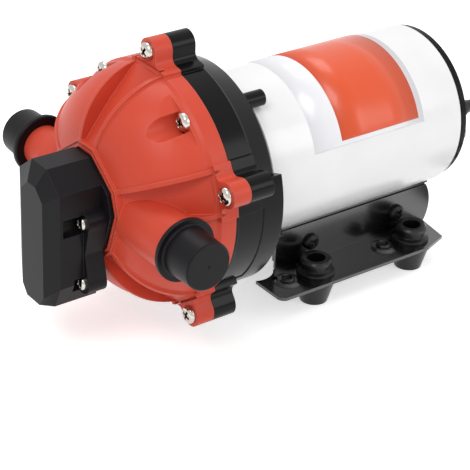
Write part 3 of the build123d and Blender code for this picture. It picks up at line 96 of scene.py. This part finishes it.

# %% [markdown]
# ## Materials
#
# Every finish is a Principled BSDF with a few nodes in front of it. Colours are written as they look
# on a screen, in hexadecimal, and one function turns them into the linear numbers that light needs.
# A fine noise gives the grain of moulded plastic and stoved paint, and a wide one lets colour and
# gloss drift a little. A Bevel node rounds the sharp CAD edges in the shading only, which leaves the
# solids as they are, and where it rounds most, a lighter colour is painted on as a highlight.


# %% Colour and node helpers
# A textured moulding tool leaves grains a little under a millimetre wide, and a coat of paint or a
# moulding's skin changes over a few centimetres. A noise's scale is one over such a width.
GRAIN_WIDTH = 0.9 * MM
GRAIN_DETAIL = 3.0
GRAIN_BREAKUP = 0.6
CLOUD_WIDTH = 30 * MM
CLOUD_DETAIL = 4.0
COLOUR_DRIFT = 0.07
COAT_ROUGHNESS = 0.16
BEVEL_RAYS = 8
# Cosine of the normals' angle at which the painted edge highlight starts, and where it is full
HIGHLIGHT_STARTS = 0.99
HIGHLIGHT_FULL = 0.8


def linear(hex_colour):
    """Linear RGBA of an sRGB colour such as "DB5A45": each channel c becomes
    c / 12.92 below 0.04045, and ((c + 0.055) / 1.055) to the power 2.4 above."""
    channels = [int(hex_colour[start:start + 2], 16) / 255 for start in (0, 2, 4)]
    bright = [c / 12.92 if c <= 0.04045 else ((c + 0.055) / 1.055) ** 2.4 for c in channels]
    return (*bright, 1)


def add_node(material, kind, **settings):
    """Adds one node. A setting named like a socket sets that socket, any other sets a property."""
    node = material.node_tree.nodes.new(kind)
    for name, value in settings.items():
        socket = node.inputs.get(name.replace("_", " "))
        if socket is not None:
            socket.default_value = value
        else:
            setattr(node, name, value)
    return node


def finish(
    name,
    colour,
    roughness,
    metallic=0.0,
    shine=0.5,
    coat=0.0,
    grain=0.0,
    rounding=0.0,
    mottle=0.0,
    edge_highlight=None,
):
    """A material: base colour, roughness, metalness, mirror level and clear coat, then the grain's
    height and the edges' rounding in metres, the roughness's spread to each side, and the colour of
    a painted highlight along the edges, which needs a rounding."""
    material = bpy.data.materials.new(name)
    material.use_nodes = True
    links = material.node_tree.links
    surface = material.node_tree.nodes["Principled BSDF"]
    surface.inputs["Metallic"].default_value = metallic
    surface.inputs["Roughness"].default_value = roughness
    surface.inputs["Specular IOR Level"].default_value = shine
    surface.inputs["Coat Weight"].default_value = coat
    surface.inputs["Coat Roughness"].default_value = COAT_ROUGHNESS
    where = add_node(material, "ShaderNodeTexCoord")
    cloud = add_node(material, "ShaderNodeTexNoise", Scale=1 / CLOUD_WIDTH, Detail=CLOUD_DETAIL)
    links.new(where.outputs["Object"], cloud.inputs["Vector"])

    # The colour drifts a little from place to place, as it does in every moulding and coat of paint
    tones = add_node(material, "ShaderNodeValToRGB")
    *hue, _ = linear(colour)
    for element, gain in zip(tones.color_ramp.elements, (1 - COLOUR_DRIFT, 1 + COLOUR_DRIFT)):
        element.color = (*(min(channel * gain, 1) for channel in hue), 1)
    links.new(cloud.outputs["Fac"], tones.inputs["Fac"])
    tone = tones.outputs["Color"]
    normal = None
    if rounding:
        bevel = add_node(material, "ShaderNodeBevel", samples=BEVEL_RAYS, Radius=rounding)
        normal = bevel.outputs["Normal"]
    if edge_highlight:
        # Painted highlight: an edge is where the rounded normal leans away from the face's own normal,
        # and there the colour is mixed towards the lighter edge colour
        face = add_node(material, "ShaderNodeNewGeometry")
        lean = add_node(material, "ShaderNodeVectorMath", operation="DOT_PRODUCT")
        links.new(normal, lean.inputs[0])
        links.new(face.outputs["Normal"], lean.inputs[1])
        highlight_share = add_node(material, "ShaderNodeMapRange")
        highlight_share.inputs["From Min"].default_value = HIGHLIGHT_STARTS
        highlight_share.inputs["From Max"].default_value = HIGHLIGHT_FULL
        links.new(lean.outputs["Value"], highlight_share.inputs["Value"])
        highlighted = add_node(material, "ShaderNodeMixRGB", Color2=linear(edge_highlight))
        links.new(highlight_share.outputs["Result"], highlighted.inputs["Fac"])
        links.new(tone, highlighted.inputs["Color1"])
        tone = highlighted.outputs["Color"]
    links.new(tone, surface.inputs["Base Color"])
    if grain:
        noise = add_node(material, "ShaderNodeTexNoise", Scale=1 / GRAIN_WIDTH, Detail=GRAIN_DETAIL)
        noise.inputs["Roughness"].default_value = GRAIN_BREAKUP
        links.new(where.outputs["Object"], noise.inputs["Vector"])
        bump = add_node(material, "ShaderNodeBump", Strength=1.0, Distance=grain)
        links.new(noise.outputs["Fac"], bump.inputs["Height"])
        if normal:
            links.new(normal, bump.inputs["Normal"])
        normal = bump.outputs["Normal"]
    if normal:
        links.new(normal, surface.inputs["Normal"])
    if mottle:
        spread = add_node(material, "ShaderNodeMapRange")
        spread.inputs["To Min"].default_value = roughness - mottle
        spread.inputs["To Max"].default_value = roughness + mottle
        links.new(cloud.outputs["Fac"], spread.inputs["Value"])
        links.new(spread.outputs["Result"], surface.inputs["Roughness"])
    return material


def shown_level(owner, hidden, shown):
    """Number that is `shown` for rays from the camera, a mirror or glass, and `hidden` for the rest."""
    path = add_node(owner, "ShaderNodeLightPath")
    total = path.outputs["Is Camera Ray"]
    for kind in ("Is Glossy Ray", "Is Transmission Ray"):
        either = add_node(owner, "ShaderNodeMath", operation="MAXIMUM")
        owner.node_tree.links.new(total, either.inputs[0])
        owner.node_tree.links.new(path.outputs[kind], either.inputs[1])
        total = either.outputs[0]
    level = add_node(owner, "ShaderNodeMapRange")
    level.inputs["To Min"].default_value = hidden
    level.inputs["To Max"].default_value = shown
    owner.node_tree.links.new(total, level.inputs["Value"])
    return level.outputs["Result"]


# %% Finishes of the record's slots
# Each edge colour below is a lighter colour painted on as a highlight along the rounded edges
finishes = {
    # Glass-filled nylon of the head, orange red with a satin skin
    "red_plastic": finish(
        "orange-red nylon",
        "D04A35",
        0.38,
        shine=0.25,
        grain=0.03 * MM,
        rounding=0.7 * MM,
        mottle=0.05,
        edge_highlight="DB6A52",
    ),
    # Black nylon of the housing and the motor's rear cap, with a finer, shinier skin
    "black_plastic": finish(
        "black nylon",
        "0B0A0C",
        0.21,
        shine=0.15,
        grain=0.02 * MM,
        rounding=0.6 * MM,
        mottle=0.05,
        edge_highlight="242326",
    ),
    # Plain acetal of the pistons, wobble plate and valve plate
    "grey_plastic": finish("natural acetal", "C8C7C2", 0.45),
    # Nickel plating of the screws
    "bright_screws": finish("bright nickel plate", "D8D4CE", 0.12, metallic=1.0, rounding=0.1 * MM),
    # Moulded rubber of the feet, seals, plugs and gland
    "black_rubber": finish(
        "black rubber",
        "101011",
        0.28,
        shine=0.4,
        grain=0.02 * MM,
        rounding=0.6 * MM,
        edge_highlight="222224",
    ),
    # Softer rubber of the flap valves
    "valve_rubber": finish("valve rubber", "202022", 0.6),
    # Rubber over a woven cloth, which shows through as a faint grain
    "diaphragm_rubber": finish("fabric-backed rubber", "242426", 0.65, grain=0.03 * MM),
    # Stoved gloss paint on the motor's steel shell
    "white_paint": finish(
        "white gloss paint",
        "F3F2F3",
        0.3,
        coat=0.4,
        grain=0.01 * MM,
        rounding=0.6 * MM,
        mottle=0.03,
    ),
    # As-cast skin of the motor's front bell and the hub
    "cast_aluminium": finish("cast aluminium", "B4B5B8", 0.45, metallic=1.0, grain=0.02 * MM),
    # Magnets and bearings inside the motor and drive
    "ferrite": finish("sintered ferrite", "2C2C2E", 0.7),
    "bearing_steel": finish("ground bearing steel", "B9BABC", 0.18, metallic=1.0),
    # Laminations of the armature, and the springs
    "core_steel": finish("stacked sheet steel", "77777A", 0.4, metallic=1.0),
    "spring_steel": finish("spring steel", "8E8E90", 0.3, metallic=1.0),
    # Brushes, windings and commutator
    "carbon": finish("pressed carbon", "1E1E20", 0.6),
    "copper": finish("enamelled copper", "C4693E", 0.3, metallic=1.0),
    # Soft PVC of the power lead, slightly dull
    "lead_sheath": finish("black cable sheath", "19191B", 0.45, grain=0.02 * MM, mottle=0.05),
    # Stoved paint on the bent sheet of the bracket and rails
    "black_steel": finish(
        "black stoved paint on steel",
        "0A0A0B",
        0.22,
        shine=0.8,
        coat=0.6,
        rounding=0.3 * MM,
        mottle=0.05,
        edge_highlight="262527",
    ),
}
print("finishes:", len(finishes))

# %% [markdown]
# ## Dressing the CAD solids
#
# The record names a material slot for each node, so one loop gives every solid its finish. Faces are
# shaded smooth, and an edge stays sharp where its two faces meet at more than 30 degrees. The switch
# and the port caps are moulded in finely textured tools, so they are duller than the housing.

# %% Dress the solids
# In degrees
SHARP_SOLID = 30
slot_of = {part["node"]: part["material_slot"] for part in frame["record"]["subparts"]}
for name, node in nodes.items():
    node.data.materials.clear()
    node.data.materials.append(finishes[slot_of[name]])
    node.data.polygons.foreach_set("use_smooth", np.ones(len(node.data.polygons), bool))
    node.data.set_sharp_from_angle(angle=np.radians(SHARP_SOLID))
# Its edge colour is a lighter colour painted on as a highlight along the rounded edges
textured = finish(
    "textured black nylon",
    "141215",
    0.4,
    shine=0.15,
    grain=0.04 * MM,
    rounding=0.6 * MM,
    edge_highlight="2A292C",
)
for name in ("switch_cover", "switch_base", "near_port_cap", "far_port_cap"):
    nodes[name].material_slots[0].material = textured
print("dressed:", len(slot_of))

# %% [markdown]
# ## Screws with cross recesses
#
# Each screw on the real pump is a pan head with a Phillips recess, which a punch forms in the factory.
# The head is one round sheet of points: rings from the middle to the rim, and spokes round it. The
# height of each point is the domed crown less the recess, so the whole head is computed at once.


# %% Screw head surface
RINGS = 44
SPOKES = 96
# In degrees
SHARP_SCREW = 50
# Of the head's height
RIM_HEIGHT = 0.3
RECESS_DEPTH = 0.66
SHALLOWER = 0.55
# Of the head's radius
FLAT_REACH = 0.35
RECESS_REACH = 0.6
RECESS_END = 0.06
WING_HALF = 0.11
WING_EDGE = 0.04
CENTRE_INNER = 0.16
CENTRE_OUTER = 0.26
# Of the shank's radius
TIP_RADIUS = 0.4
TIP_LENGTH = 0.6


def smooth_step(value, low, high):
    """0 below low, 1 above high, and 3t^2 - 2t^3 between them, where t runs from 0 to 1."""
    t = np.clip((value - low) / (high - low), 0, 1)
    return t * t * (3 - 2 * t)


def head_height(radius, angle, turn):
    """Height of the head's surface and depth of the recess, in head heights, at a radius in head radii.
    The crown is flat in the middle and falls as an arc to the rim: h = rim + (1 - rim) sqrt(1 - t^2),
    where t runs from 0 at the flat's end to 1 at the rim. The recess is a cross of two slots, deepest
    in the middle: a point lies in a slot where its distance |r sin(angle)| or |r cos(angle)| from the
    nearer slot's line is under the wing's half width."""
    t = np.maximum(radius - FLAT_REACH, 0) / (1 - FLAT_REACH)
    crown = RIM_HEIGHT + (1 - RIM_HEIGHT) * np.sqrt(np.clip(1 - t**2, 0, 1))
    across_one = np.abs(radius * np.sin(angle - turn))
    across_two = np.abs(radius * np.cos(angle - turn))
    off_line = np.minimum(across_one, across_two)
    in_wing = 1 - smooth_step(off_line, WING_HALF, WING_HALF + WING_EDGE)
    in_reach = 1 - smooth_step(radius, RECESS_REACH - RECESS_END, RECESS_REACH)
    in_centre = 1 - smooth_step(radius, CENTRE_INNER, CENTRE_OUTER)
    depth = RECESS_DEPTH * (1 - SHALLOWER * radius / RECESS_REACH)
    recess = depth * in_reach * np.maximum(in_wing, in_centre)
    return crown - recess, recess


def screw_mesh(name, seats, head_radius, head_rise, shank_radius, length, turns):
    """One mesh of several screws. A seat is (point, outward direction w). Each screw is a grid of
    rings and spokes: the rings of the head, then the rim's foot, the shank's two ends and the tip.
    A grid point is seat + u r cos(a) + v r sin(a) + w h, with u and v square to w."""
    spin = np.linspace(0, 2 * np.pi, SPOKES, endpoint=False)
    steps = np.linspace(0, 1, RINGS)
    vertices = []
    faces = []
    hollows = []
    for number, ((point, outward), turn) in enumerate(zip(seats, turns)):
        ring, angle = np.meshgrid(steps, spin, indexing="ij")
        height, recess = head_height(ring, angle, turn)
        height *= head_rise
        tail_radius = np.array([head_radius, shank_radius, shank_radius, shank_radius * TIP_RADIUS])
        tail_height = np.array([0, 0, -length + shank_radius * TIP_LENGTH, -length])
        radii = np.concatenate([ring * head_radius, np.repeat(tail_radius[:, None], SPOKES, 1)])
        heights = np.concatenate([height, np.repeat(tail_height[:, None], SPOKES, 1)])
        angles = np.concatenate([angle, np.tile(spin, (len(tail_radius), 1))])
        w = np.array(outward, float)
        u = np.cross(w, (0, 0, 1))
        u /= np.linalg.norm(u)
        v = np.cross(w, u)
        local = np.stack([radii * np.cos(angles), radii * np.sin(angles), heights], -1)
        world = np.array(point) + local @ np.stack([u, v, w])
        rows, columns = world.shape[:2]
        start = number * rows * columns
        index = start + np.arange(rows * columns).reshape(rows, columns)
        across = np.roll(index, -1, axis=1)
        quads = np.stack([index[:-1], index[1:], across[1:], across[:-1]], -1).reshape(-1, 4)
        vertices.append(world.reshape(-1, 3))
        hollows.append(np.concatenate([recess, np.zeros((rows - RINGS, columns))]).ravel())
        faces.extend(quads.tolist())
        faces.append(index[-1].tolist())
        faces.append(index[0][::-1].tolist())
    mesh = bpy.data.meshes.new(name)
    mesh.from_pydata(np.concatenate(vertices).tolist(), [], faces)
    mesh.polygons.foreach_set("use_smooth", np.ones(len(mesh.polygons), bool))
    mesh.set_sharp_from_angle(angle=np.radians(SHARP_SCREW))
    # The recess's depth on each point, from which the plate's material paints shade into the recess
    hollow = mesh.attributes.new("recess", "FLOAT", "POINT")
    hollow.data.foreach_set("value", np.concatenate(hollows))
    return mesh


def place(name, mesh, body, slot, replaced=()):
    """Links a new piece, lets it ride on a body, and takes over from the CAD nodes it replaces."""
    piece = bpy.data.objects.new(name, mesh)
    bpy.context.scene.collection.objects.link(piece)
    if not mesh.materials:
        mesh.materials.append(finishes[slot])
    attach(piece, body)
    if replaced:
        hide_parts(*replaced)
    return piece


# %% Places of the screws
# Sizes of the CAD model's screws, so that the new heads cover the same seats
HEAD = 5.2 * MM
RISE = 3.2 * MM
SHANK = 2.2 * MM
SWITCH_SCALE = 0.7
BOLT_SCALE = 1.8 / 2.2
EAR_CIRCLE = 78 * MM
POCKET_CIRCLE = 65.2 * MM
EAR_THICKNESS = 11 * MM
POCKET_STEP = 2.6 * MM
SWITCH_SIDE = 19.5 * MM
SWITCH_DROPS = (2 * MM, 39 * MM)
BOLT_CIRCLE = 42.2 * MM
BOLT_ANGLE = 95.4
seat_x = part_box("pump_cover")[1].x - EAR_THICKNESS
pocket_x = seat_x - POCKET_STEP


def around(x, radius, degrees):
    """Point at a radius and an angle from the top of the motor axis, towards the near side."""
    turn = np.radians(degrees)
    return (x, -radius * np.sin(turn), AXIS_HEIGHT + radius * np.cos(turn))


FORWARDS = (-1, 0, 0)
BACKWARDS = (1, 0, 0)
pitch = 360 / CHAMBERS
ear_angles = np.arange(CHAMBERS) * pitch
pocket_angles = ear_angles + pitch / 2
ear_seats = [(around(seat_x, EAR_CIRCLE, angle), FORWARDS) for angle in ear_angles]
pocket_seats = [(around(pocket_x, POCKET_CIRCLE, angle), FORWARDS) for angle in pocket_angles]

switch_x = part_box("switch_screws")[0].x + RISE * SWITCH_SCALE
switch_spots = [(side * SWITCH_SIDE, AXIS_HEIGHT - drop) for side in (-1, 1) for drop in SWITCH_DROPS]
switch_seats = [((switch_x, y, z), FORWARDS) for y, z in switch_spots]

rail_low, rail_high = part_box("rail_screws")
rail_y = rail_high.y - RISE
rail_x = (rail_low.x + HEAD, rail_high.x - HEAD)
rail_z = (rail_low.z + rail_high.z) / 2
rail_seats = [((x, side * rail_y, rail_z), (0, side, 0)) for side in (-1, 1) for x in rail_x]

rear_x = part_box("motor_rear_cap")[1].x
bolt_seats = [(around(rear_x, BOLT_CIRCLE, BOLT_ANGLE + turn), BACKWARDS) for turn in (0, 180)]
print("screws:", len(ear_seats + pocket_seats + switch_seats + rail_seats + bolt_seats))

# %% Screws
# Black oxide on the rails' screws, which is duller than the paint round them
blackened = finish("black oxide steel", "080808", 0.42, shine=0.3, grain=0.01 * MM, mottle=0.05)
# Painted shade: the plate's colour darkens with the recess's depth, so the recess is much darker than the
# plated crown
DARK_FROM = 0.35
plate = finishes["bright_screws"]
plate_surface = plate.node_tree.nodes["Principled BSDF"]
recess_depth = add_node(plate, "ShaderNodeAttribute", attribute_name="recess")
painted_recess_shade = add_node(plate, "ShaderNodeValToRGB")
painted_recess_shade.color_ramp.elements[0].color = linear("C4BFB8")
painted_recess_shade.color_ramp.elements[1].color = linear("2A2624")
painted_recess_shade.color_ramp.elements[1].position = DARK_FROM
plate.node_tree.links.new(recess_depth.outputs["Fac"], painted_recess_shade.inputs["Fac"])
plate.node_tree.links.new(painted_recess_shade.outputs["Color"], plate_surface.inputs["Base Color"])

# A screw stops turning wherever it is tight, so each recess is turned by chance
chance = np.random.default_rng(7)
screw_sets = [
    ("driven_ear_screws", "ear_screws", ear_seats, 1.0, 22 * MM, "bright_screws"),
    ("driven_pocket_screws", "pocket_screws", pocket_seats, 1.0, 26.6 * MM, "bright_screws"),
    ("driven_switch_screws", "switch_screws", switch_seats, SWITCH_SCALE, 14.9 * MM, "bright_screws"),
    ("driven_rail_screws", "rail_screws", rail_seats, 1.0, 5 * MM, "black_steel"),
    ("driven_through_bolts", "motor_through_bolts", bolt_seats, BOLT_SCALE, 152.3 * MM, "bright_screws"),
]
for name, node, seats, scale, length, slot in screw_sets:
    turns = chance.uniform(0, np.pi / 2, len(seats))
    mesh = screw_mesh(name, seats, HEAD * scale, RISE * scale, SHANK * scale, length, turns)
    if slot == "black_steel":
        mesh.materials.append(blackened)
    place(name, mesh, "root", slot, [node])
    print(name, len(mesh.polygons), "faces")

# %% [markdown]
# ## Dishes and plugs at the rails' spare holes
#
# Each rail has two spare holes for other feet. The real sheet is pressed up into a shallow dish round
# each one, and a rubber plug closes it. Both are round about the hole, so each is one profile of
# radius and height that is turned about an upright axis.

# %% Dishes and plugs, in millimetres
DISH_HOLE = 3
DISH_CREST = 5.4
DISH_REACH = 8.8
DISH_RISE = 1.3
DISH_CHAMFER = 0.3
DISH_SINK = 0.3
SLOPE_POINTS = 16
HOLE_X = (-58.2, 15.4)
HOLE_Y = 35.9
FLANGE_TOP = 18.5


def turned(name, profile, centres, wrapped):
    """Profile of (radius r, height above the flange) points, turned about upright axes through the
    centres: x = centre x + r cos(a), y = centre y + r sin(a). A wrapped profile is a ring without
    ends, and any other is closed by a flat face at each end."""
    radius, height = np.array(profile).T
    angle = np.linspace(0, 2 * np.pi, SPOKES, endpoint=False)
    rise = np.repeat(FLANGE_TOP + height[:, None], SPOKES, 1)
    vertices = []
    faces = []
    for number, (x, y) in enumerate(centres):
        round_x = x + np.outer(radius, np.cos(angle))
        round_y = y + np.outer(radius, np.sin(angle))
        index = number * rise.size + np.arange(rise.size).reshape(rise.shape)
        above = index if wrapped else index[:-1]
        below = np.roll(index, -1, axis=0) if wrapped else index[1:]
        quads = np.stack([above, below, np.roll(below, -1, axis=1), np.roll(above, -1, axis=1)], -1)
        vertices.append(np.stack([round_x, round_y, rise], -1).reshape(-1, 3) * MM)
        faces.extend(quads.reshape(-1, 4).tolist())
        if not wrapped:
            faces.append(index[0].tolist())
            faces.append(index[-1][::-1].tolist())
    mesh = bpy.data.meshes.new(name)
    mesh.from_pydata(np.concatenate(vertices).tolist(), [], faces)
    mesh.polygons.foreach_set("use_smooth", np.ones(len(mesh.polygons), bool))
    mesh.set_sharp_from_angle(angle=np.radians(SHARP_SCREW))
    return mesh


# The dish's slope is the smooth step upside down, and its two edges dip into the flange
slope = np.linspace(DISH_CREST, DISH_REACH, SLOPE_POINTS)
slope_height = DISH_RISE * (1 - smooth_step(slope, DISH_CREST, DISH_REACH))
dish_profile = [
    (DISH_HOLE, -DISH_SINK),
    (DISH_HOLE, DISH_RISE - DISH_CHAMFER),
    (DISH_HOLE + DISH_CHAMFER, DISH_RISE),
    *zip(slope, slope_height),
    (DISH_REACH, -DISH_SINK),
]
# Radius and height, from the plug's hollow top, over its lip, through the hole and round the bead
plug_profile = [
    (2, 1),
    (2.4, 1.2),
    (2.7, 2.7),
    (3.1, 3.1),
    (3.7, 3.1),
    (4.2, 2.7),
    (4.4, 1.3),
    (2.7, 1.2),
    (2.7, -2.1),
    (3.8, -2.2),
    (3.6, -3.4),
    (2.6, -4.2),
]
holes = [(x, side * HOLE_Y) for side in (-1, 1) for x in HOLE_X]
place("rail_dishes", turned("rail_dishes", dish_profile, holes, True), "root", "black_steel")
place("rail_plugs", turned("rail_plugs", plug_profile, holes, False), "root", "black_rubber")
print("dishes and plugs:", len(holes))

# %% [markdown]
# ## The label on the motor
#
# The real motor carries a printed film, orange red with a pale glossy strip towards the head. A film
# is a thin sheet that follows the shell, so its points lie on a circle a little larger than the shell,
# and a Solidify modifier gives it its thickness. It is left bare, without words or marks.

# %% Label
FILM = 0.1 * MM
FILM_COLUMNS = 4
FILM_ROWS = 72
SHEET_LIFT = 0.03 * MM
PANEL_LIFT = 0.16 * MM


def film(name, x_start, x_end, angle_start, angle_end, lift, material):
    """Sheet round the motor axis, lifted off the shell: x runs along the axis, and an angle from the
    top gives y = -r sin(angle) and z = axis height + r cos(angle)."""
    along = np.linspace(x_start, x_end, FILM_COLUMNS)
    x, angle = np.meshgrid(along, np.radians(np.linspace(angle_start, angle_end, FILM_ROWS)))
    radius = motor_radius + lift
    points = np.stack([x, -radius * np.sin(angle), AXIS_HEIGHT + radius * np.cos(angle)], -1)
    rows, columns = x.shape
    index = np.arange(rows * columns).reshape(rows, columns)
    quads = np.stack([index[:-1, :-1], index[:-1, 1:], index[1:, 1:], index[1:, :-1]], -1)
    mesh = bpy.data.meshes.new(name)
    mesh.from_pydata(points.reshape(-1, 3).tolist(), [], quads.reshape(-1, 4).tolist())
    mesh.polygons.foreach_set("use_smooth", np.ones(len(mesh.polygons), bool))
    mesh.materials.append(material)
    piece = place(name, mesh, "root", "white_paint")
    thickness = piece.modifiers.new("film thickness", "SOLIDIFY")
    thickness.thickness = FILM
    thickness.offset = 1
    print(name, "is", round((x_end - x_start) / MM, 1), "mm along the motor")


# Printed vinyl with a glossy clear layer
label_red = finish("orange-red printed vinyl", "E2501C", 0.36, coat=0.25, mottle=0.04)
label_pale = finish("silvery white vinyl", "F4F4F8", 0.26, coat=0.3, mottle=0.04)
film("label_sheet", -53 * MM, 28.5 * MM, -40, 73, SHEET_LIFT, label_pale)
film("label_panel", -33 * MM, 24.5 * MM, -36, 69.5, PANEL_LIFT, label_red)

# %% [markdown]
# ## The power lead
#
# The lead is a free, bendy thing, so it is a smooth curve and not a chain of tubes. It leaves the
# gland at the motor's rear, drops to the floor and ends in a flat coil, behind the pump. Its control
# points are the route's own corners. The coil is a chain of half turns, each a little tighter than
# the one before, and a last quarter turn with a short straight end.

# %% Power lead
lead_radius = 2.5 * MM
LEAD_HEIGHT = 2.5
COIL_RADIUS = 30
COIL_TIGHTER = 3.25
COIL_Y = -70
HALF_TURNS = 4
STEPS_PER_HALF = 8
STEPS_PER_QUARTER = 4
STRAIGHT_END = 5
lead_points = [
    (66.5, -40, 101),
    (82.5, -40, 101),
    (96.4, -39.6, 93),
    (104.6, -38, 79),
    (107.5, -31, 53.5),
    (107, -27, 28),
    (106, -34.5, 12),
    (105, -48.5, LEAD_HEIGHT),
    (105, -65, LEAD_HEIGHT),
]


def arc_points(start_x, radius, side, sweep, steps):
    """Corners of a polygon round an arc on the floor that starts at start_x, at y = COIL_Y, and turns
    towards side: x = middle - side R cos(a), y = COIL_Y - side R sin(a). Each corner lies half a step
    past an even share of the sweep, at R = radius / cos(half a step), so that the sides touch the arc."""
    step = sweep / steps
    corner = radius / np.cos(step / 2)
    angle = step * (np.arange(steps) + 0.5)
    x = start_x + side * (radius - corner * np.cos(angle))
    y = COIL_Y - side * corner * np.sin(angle)
    return np.stack([x, y, np.full(steps, LEAD_HEIGHT)], -1)


coil_x = lead_points[-1][0]
turn_side = 1
turn_radius = COIL_RADIUS
coil_arcs = []
for _ in range(HALF_TURNS):
    coil_arcs.append(arc_points(coil_x, turn_radius, turn_side, np.pi, STEPS_PER_HALF))
    coil_x += turn_side * 2 * turn_radius
    turn_side = -turn_side
    turn_radius -= COIL_TIGHTER
coil_arcs.append(arc_points(coil_x, turn_radius, turn_side, np.pi / 2, STEPS_PER_QUARTER))
lead_end = (coil_x + turn_radius + STRAIGHT_END, COIL_Y - turn_radius, LEAD_HEIGHT)
lead_route = np.concatenate([lead_points, *coil_arcs, [lead_end]]) * MM

lead_curve = bpy.data.curves.new("soft_power_lead", "CURVE")
lead_curve.dimensions = "3D"
lead_curve.bevel_depth = lead_radius
lead_curve.bevel_resolution = 6
lead_curve.resolution_u = 8
lead_curve.use_fill_caps = True
spline = lead_curve.splines.new("NURBS")
spline.points.add(len(lead_route) - 1)
spline.points.foreach_set("co", np.column_stack([lead_route, np.ones(len(lead_route))]).ravel())
spline.order_u = 3
spline.use_endpoint_u = True
lead_curve.materials.append(finishes["lead_sheath"])
lead = bpy.data.objects.new("soft_power_lead", lead_curve)
bpy.context.scene.collection.objects.link(lead)
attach(lead, "root")
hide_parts("power_lead", "power_lead_coil")

# %% [markdown]
# ## Floor and studio light
#
# The photograph is lit from above and from both sides by large soft lamps, on a white ground. Here a
# big lamp stands over the head, a weaker one fills the motor's side, and a third lights the top. The
# floor glows a little, but only as the camera and mirrors see it, so it looks white beside the pump
# and throws no light onto it. The surroundings are white in the same way.

# %% Floor
FLOOR_REACH = 6
FLOOR_GLOW = 0.55
floor_mesh = bpy.data.meshes.new("floor")
floor_corners = [(x * FLOOR_REACH, y * FLOOR_REACH, 0) for x, y in ((-1, -1), (1, -1), (1, 1), (-1, 1))]
floor_mesh.from_pydata(floor_corners, [], [(0, 1, 2, 3)])
paper = finish("white paper ground", "FFFFFF", 0.9)
paper_surface = paper.node_tree.nodes["Principled BSDF"]
paper_surface.inputs["Emission Color"].default_value = linear("FFFFFF")
paper.node_tree.links.new(shown_level(paper, 0, FLOOR_GLOW), paper_surface.inputs["Emission Strength"])
floor_mesh.materials.append(paper)
floor = bpy.data.objects.new("floor", floor_mesh)
bpy.context.scene.collection.objects.link(floor)
print("floor is", 2 * FLOOR_REACH, "m across")


# %% Lamps
def lamp(name, spot, aim, size, power):
    """Square soft lamp of a size in metres and a power in watts at spot, facing aim."""
    light = bpy.data.lights.new(name, "AREA")
    light.shape = "SQUARE"
    light.size = size
    light.energy = power
    piece = bpy.data.objects.new(name, light)
    facing = (Vector(aim) - Vector(spot)).to_track_quat("-Z", "Y").to_matrix().to_4x4()
    piece.matrix_world = Matrix.Translation(spot) @ facing
    bpy.context.scene.collection.objects.link(piece)
    return piece


pump_middle = (-0.07, 0, 0.08)
lamps = [
    lamp("key lamp", (-0.75, -0.35, 1.05), pump_middle, 0.5, 4.6),
    lamp("side lamp", (0.55, -1.05, 0.65), pump_middle, 0.6, 2.8),
    lamp("top lamp", (0.1, 0.5, 1.2), pump_middle, 0.6, 4),
]
print("lamps:", len(lamps))

# %% Surroundings
AMBIENT_LEVEL = 0.56
world = bpy.data.worlds.new("studio")
bpy.context.scene.world = world
world.use_nodes = True
background = world.node_tree.nodes["Background"]
background.inputs["Color"].default_value = linear("FFFFFF")
world.node_tree.links.new(shown_level(world, AMBIENT_LEVEL, 1), background.inputs["Strength"])
bpy.context.scene.view_settings.view_transform = "Standard"
print("ambient level:", AMBIENT_LEVEL)
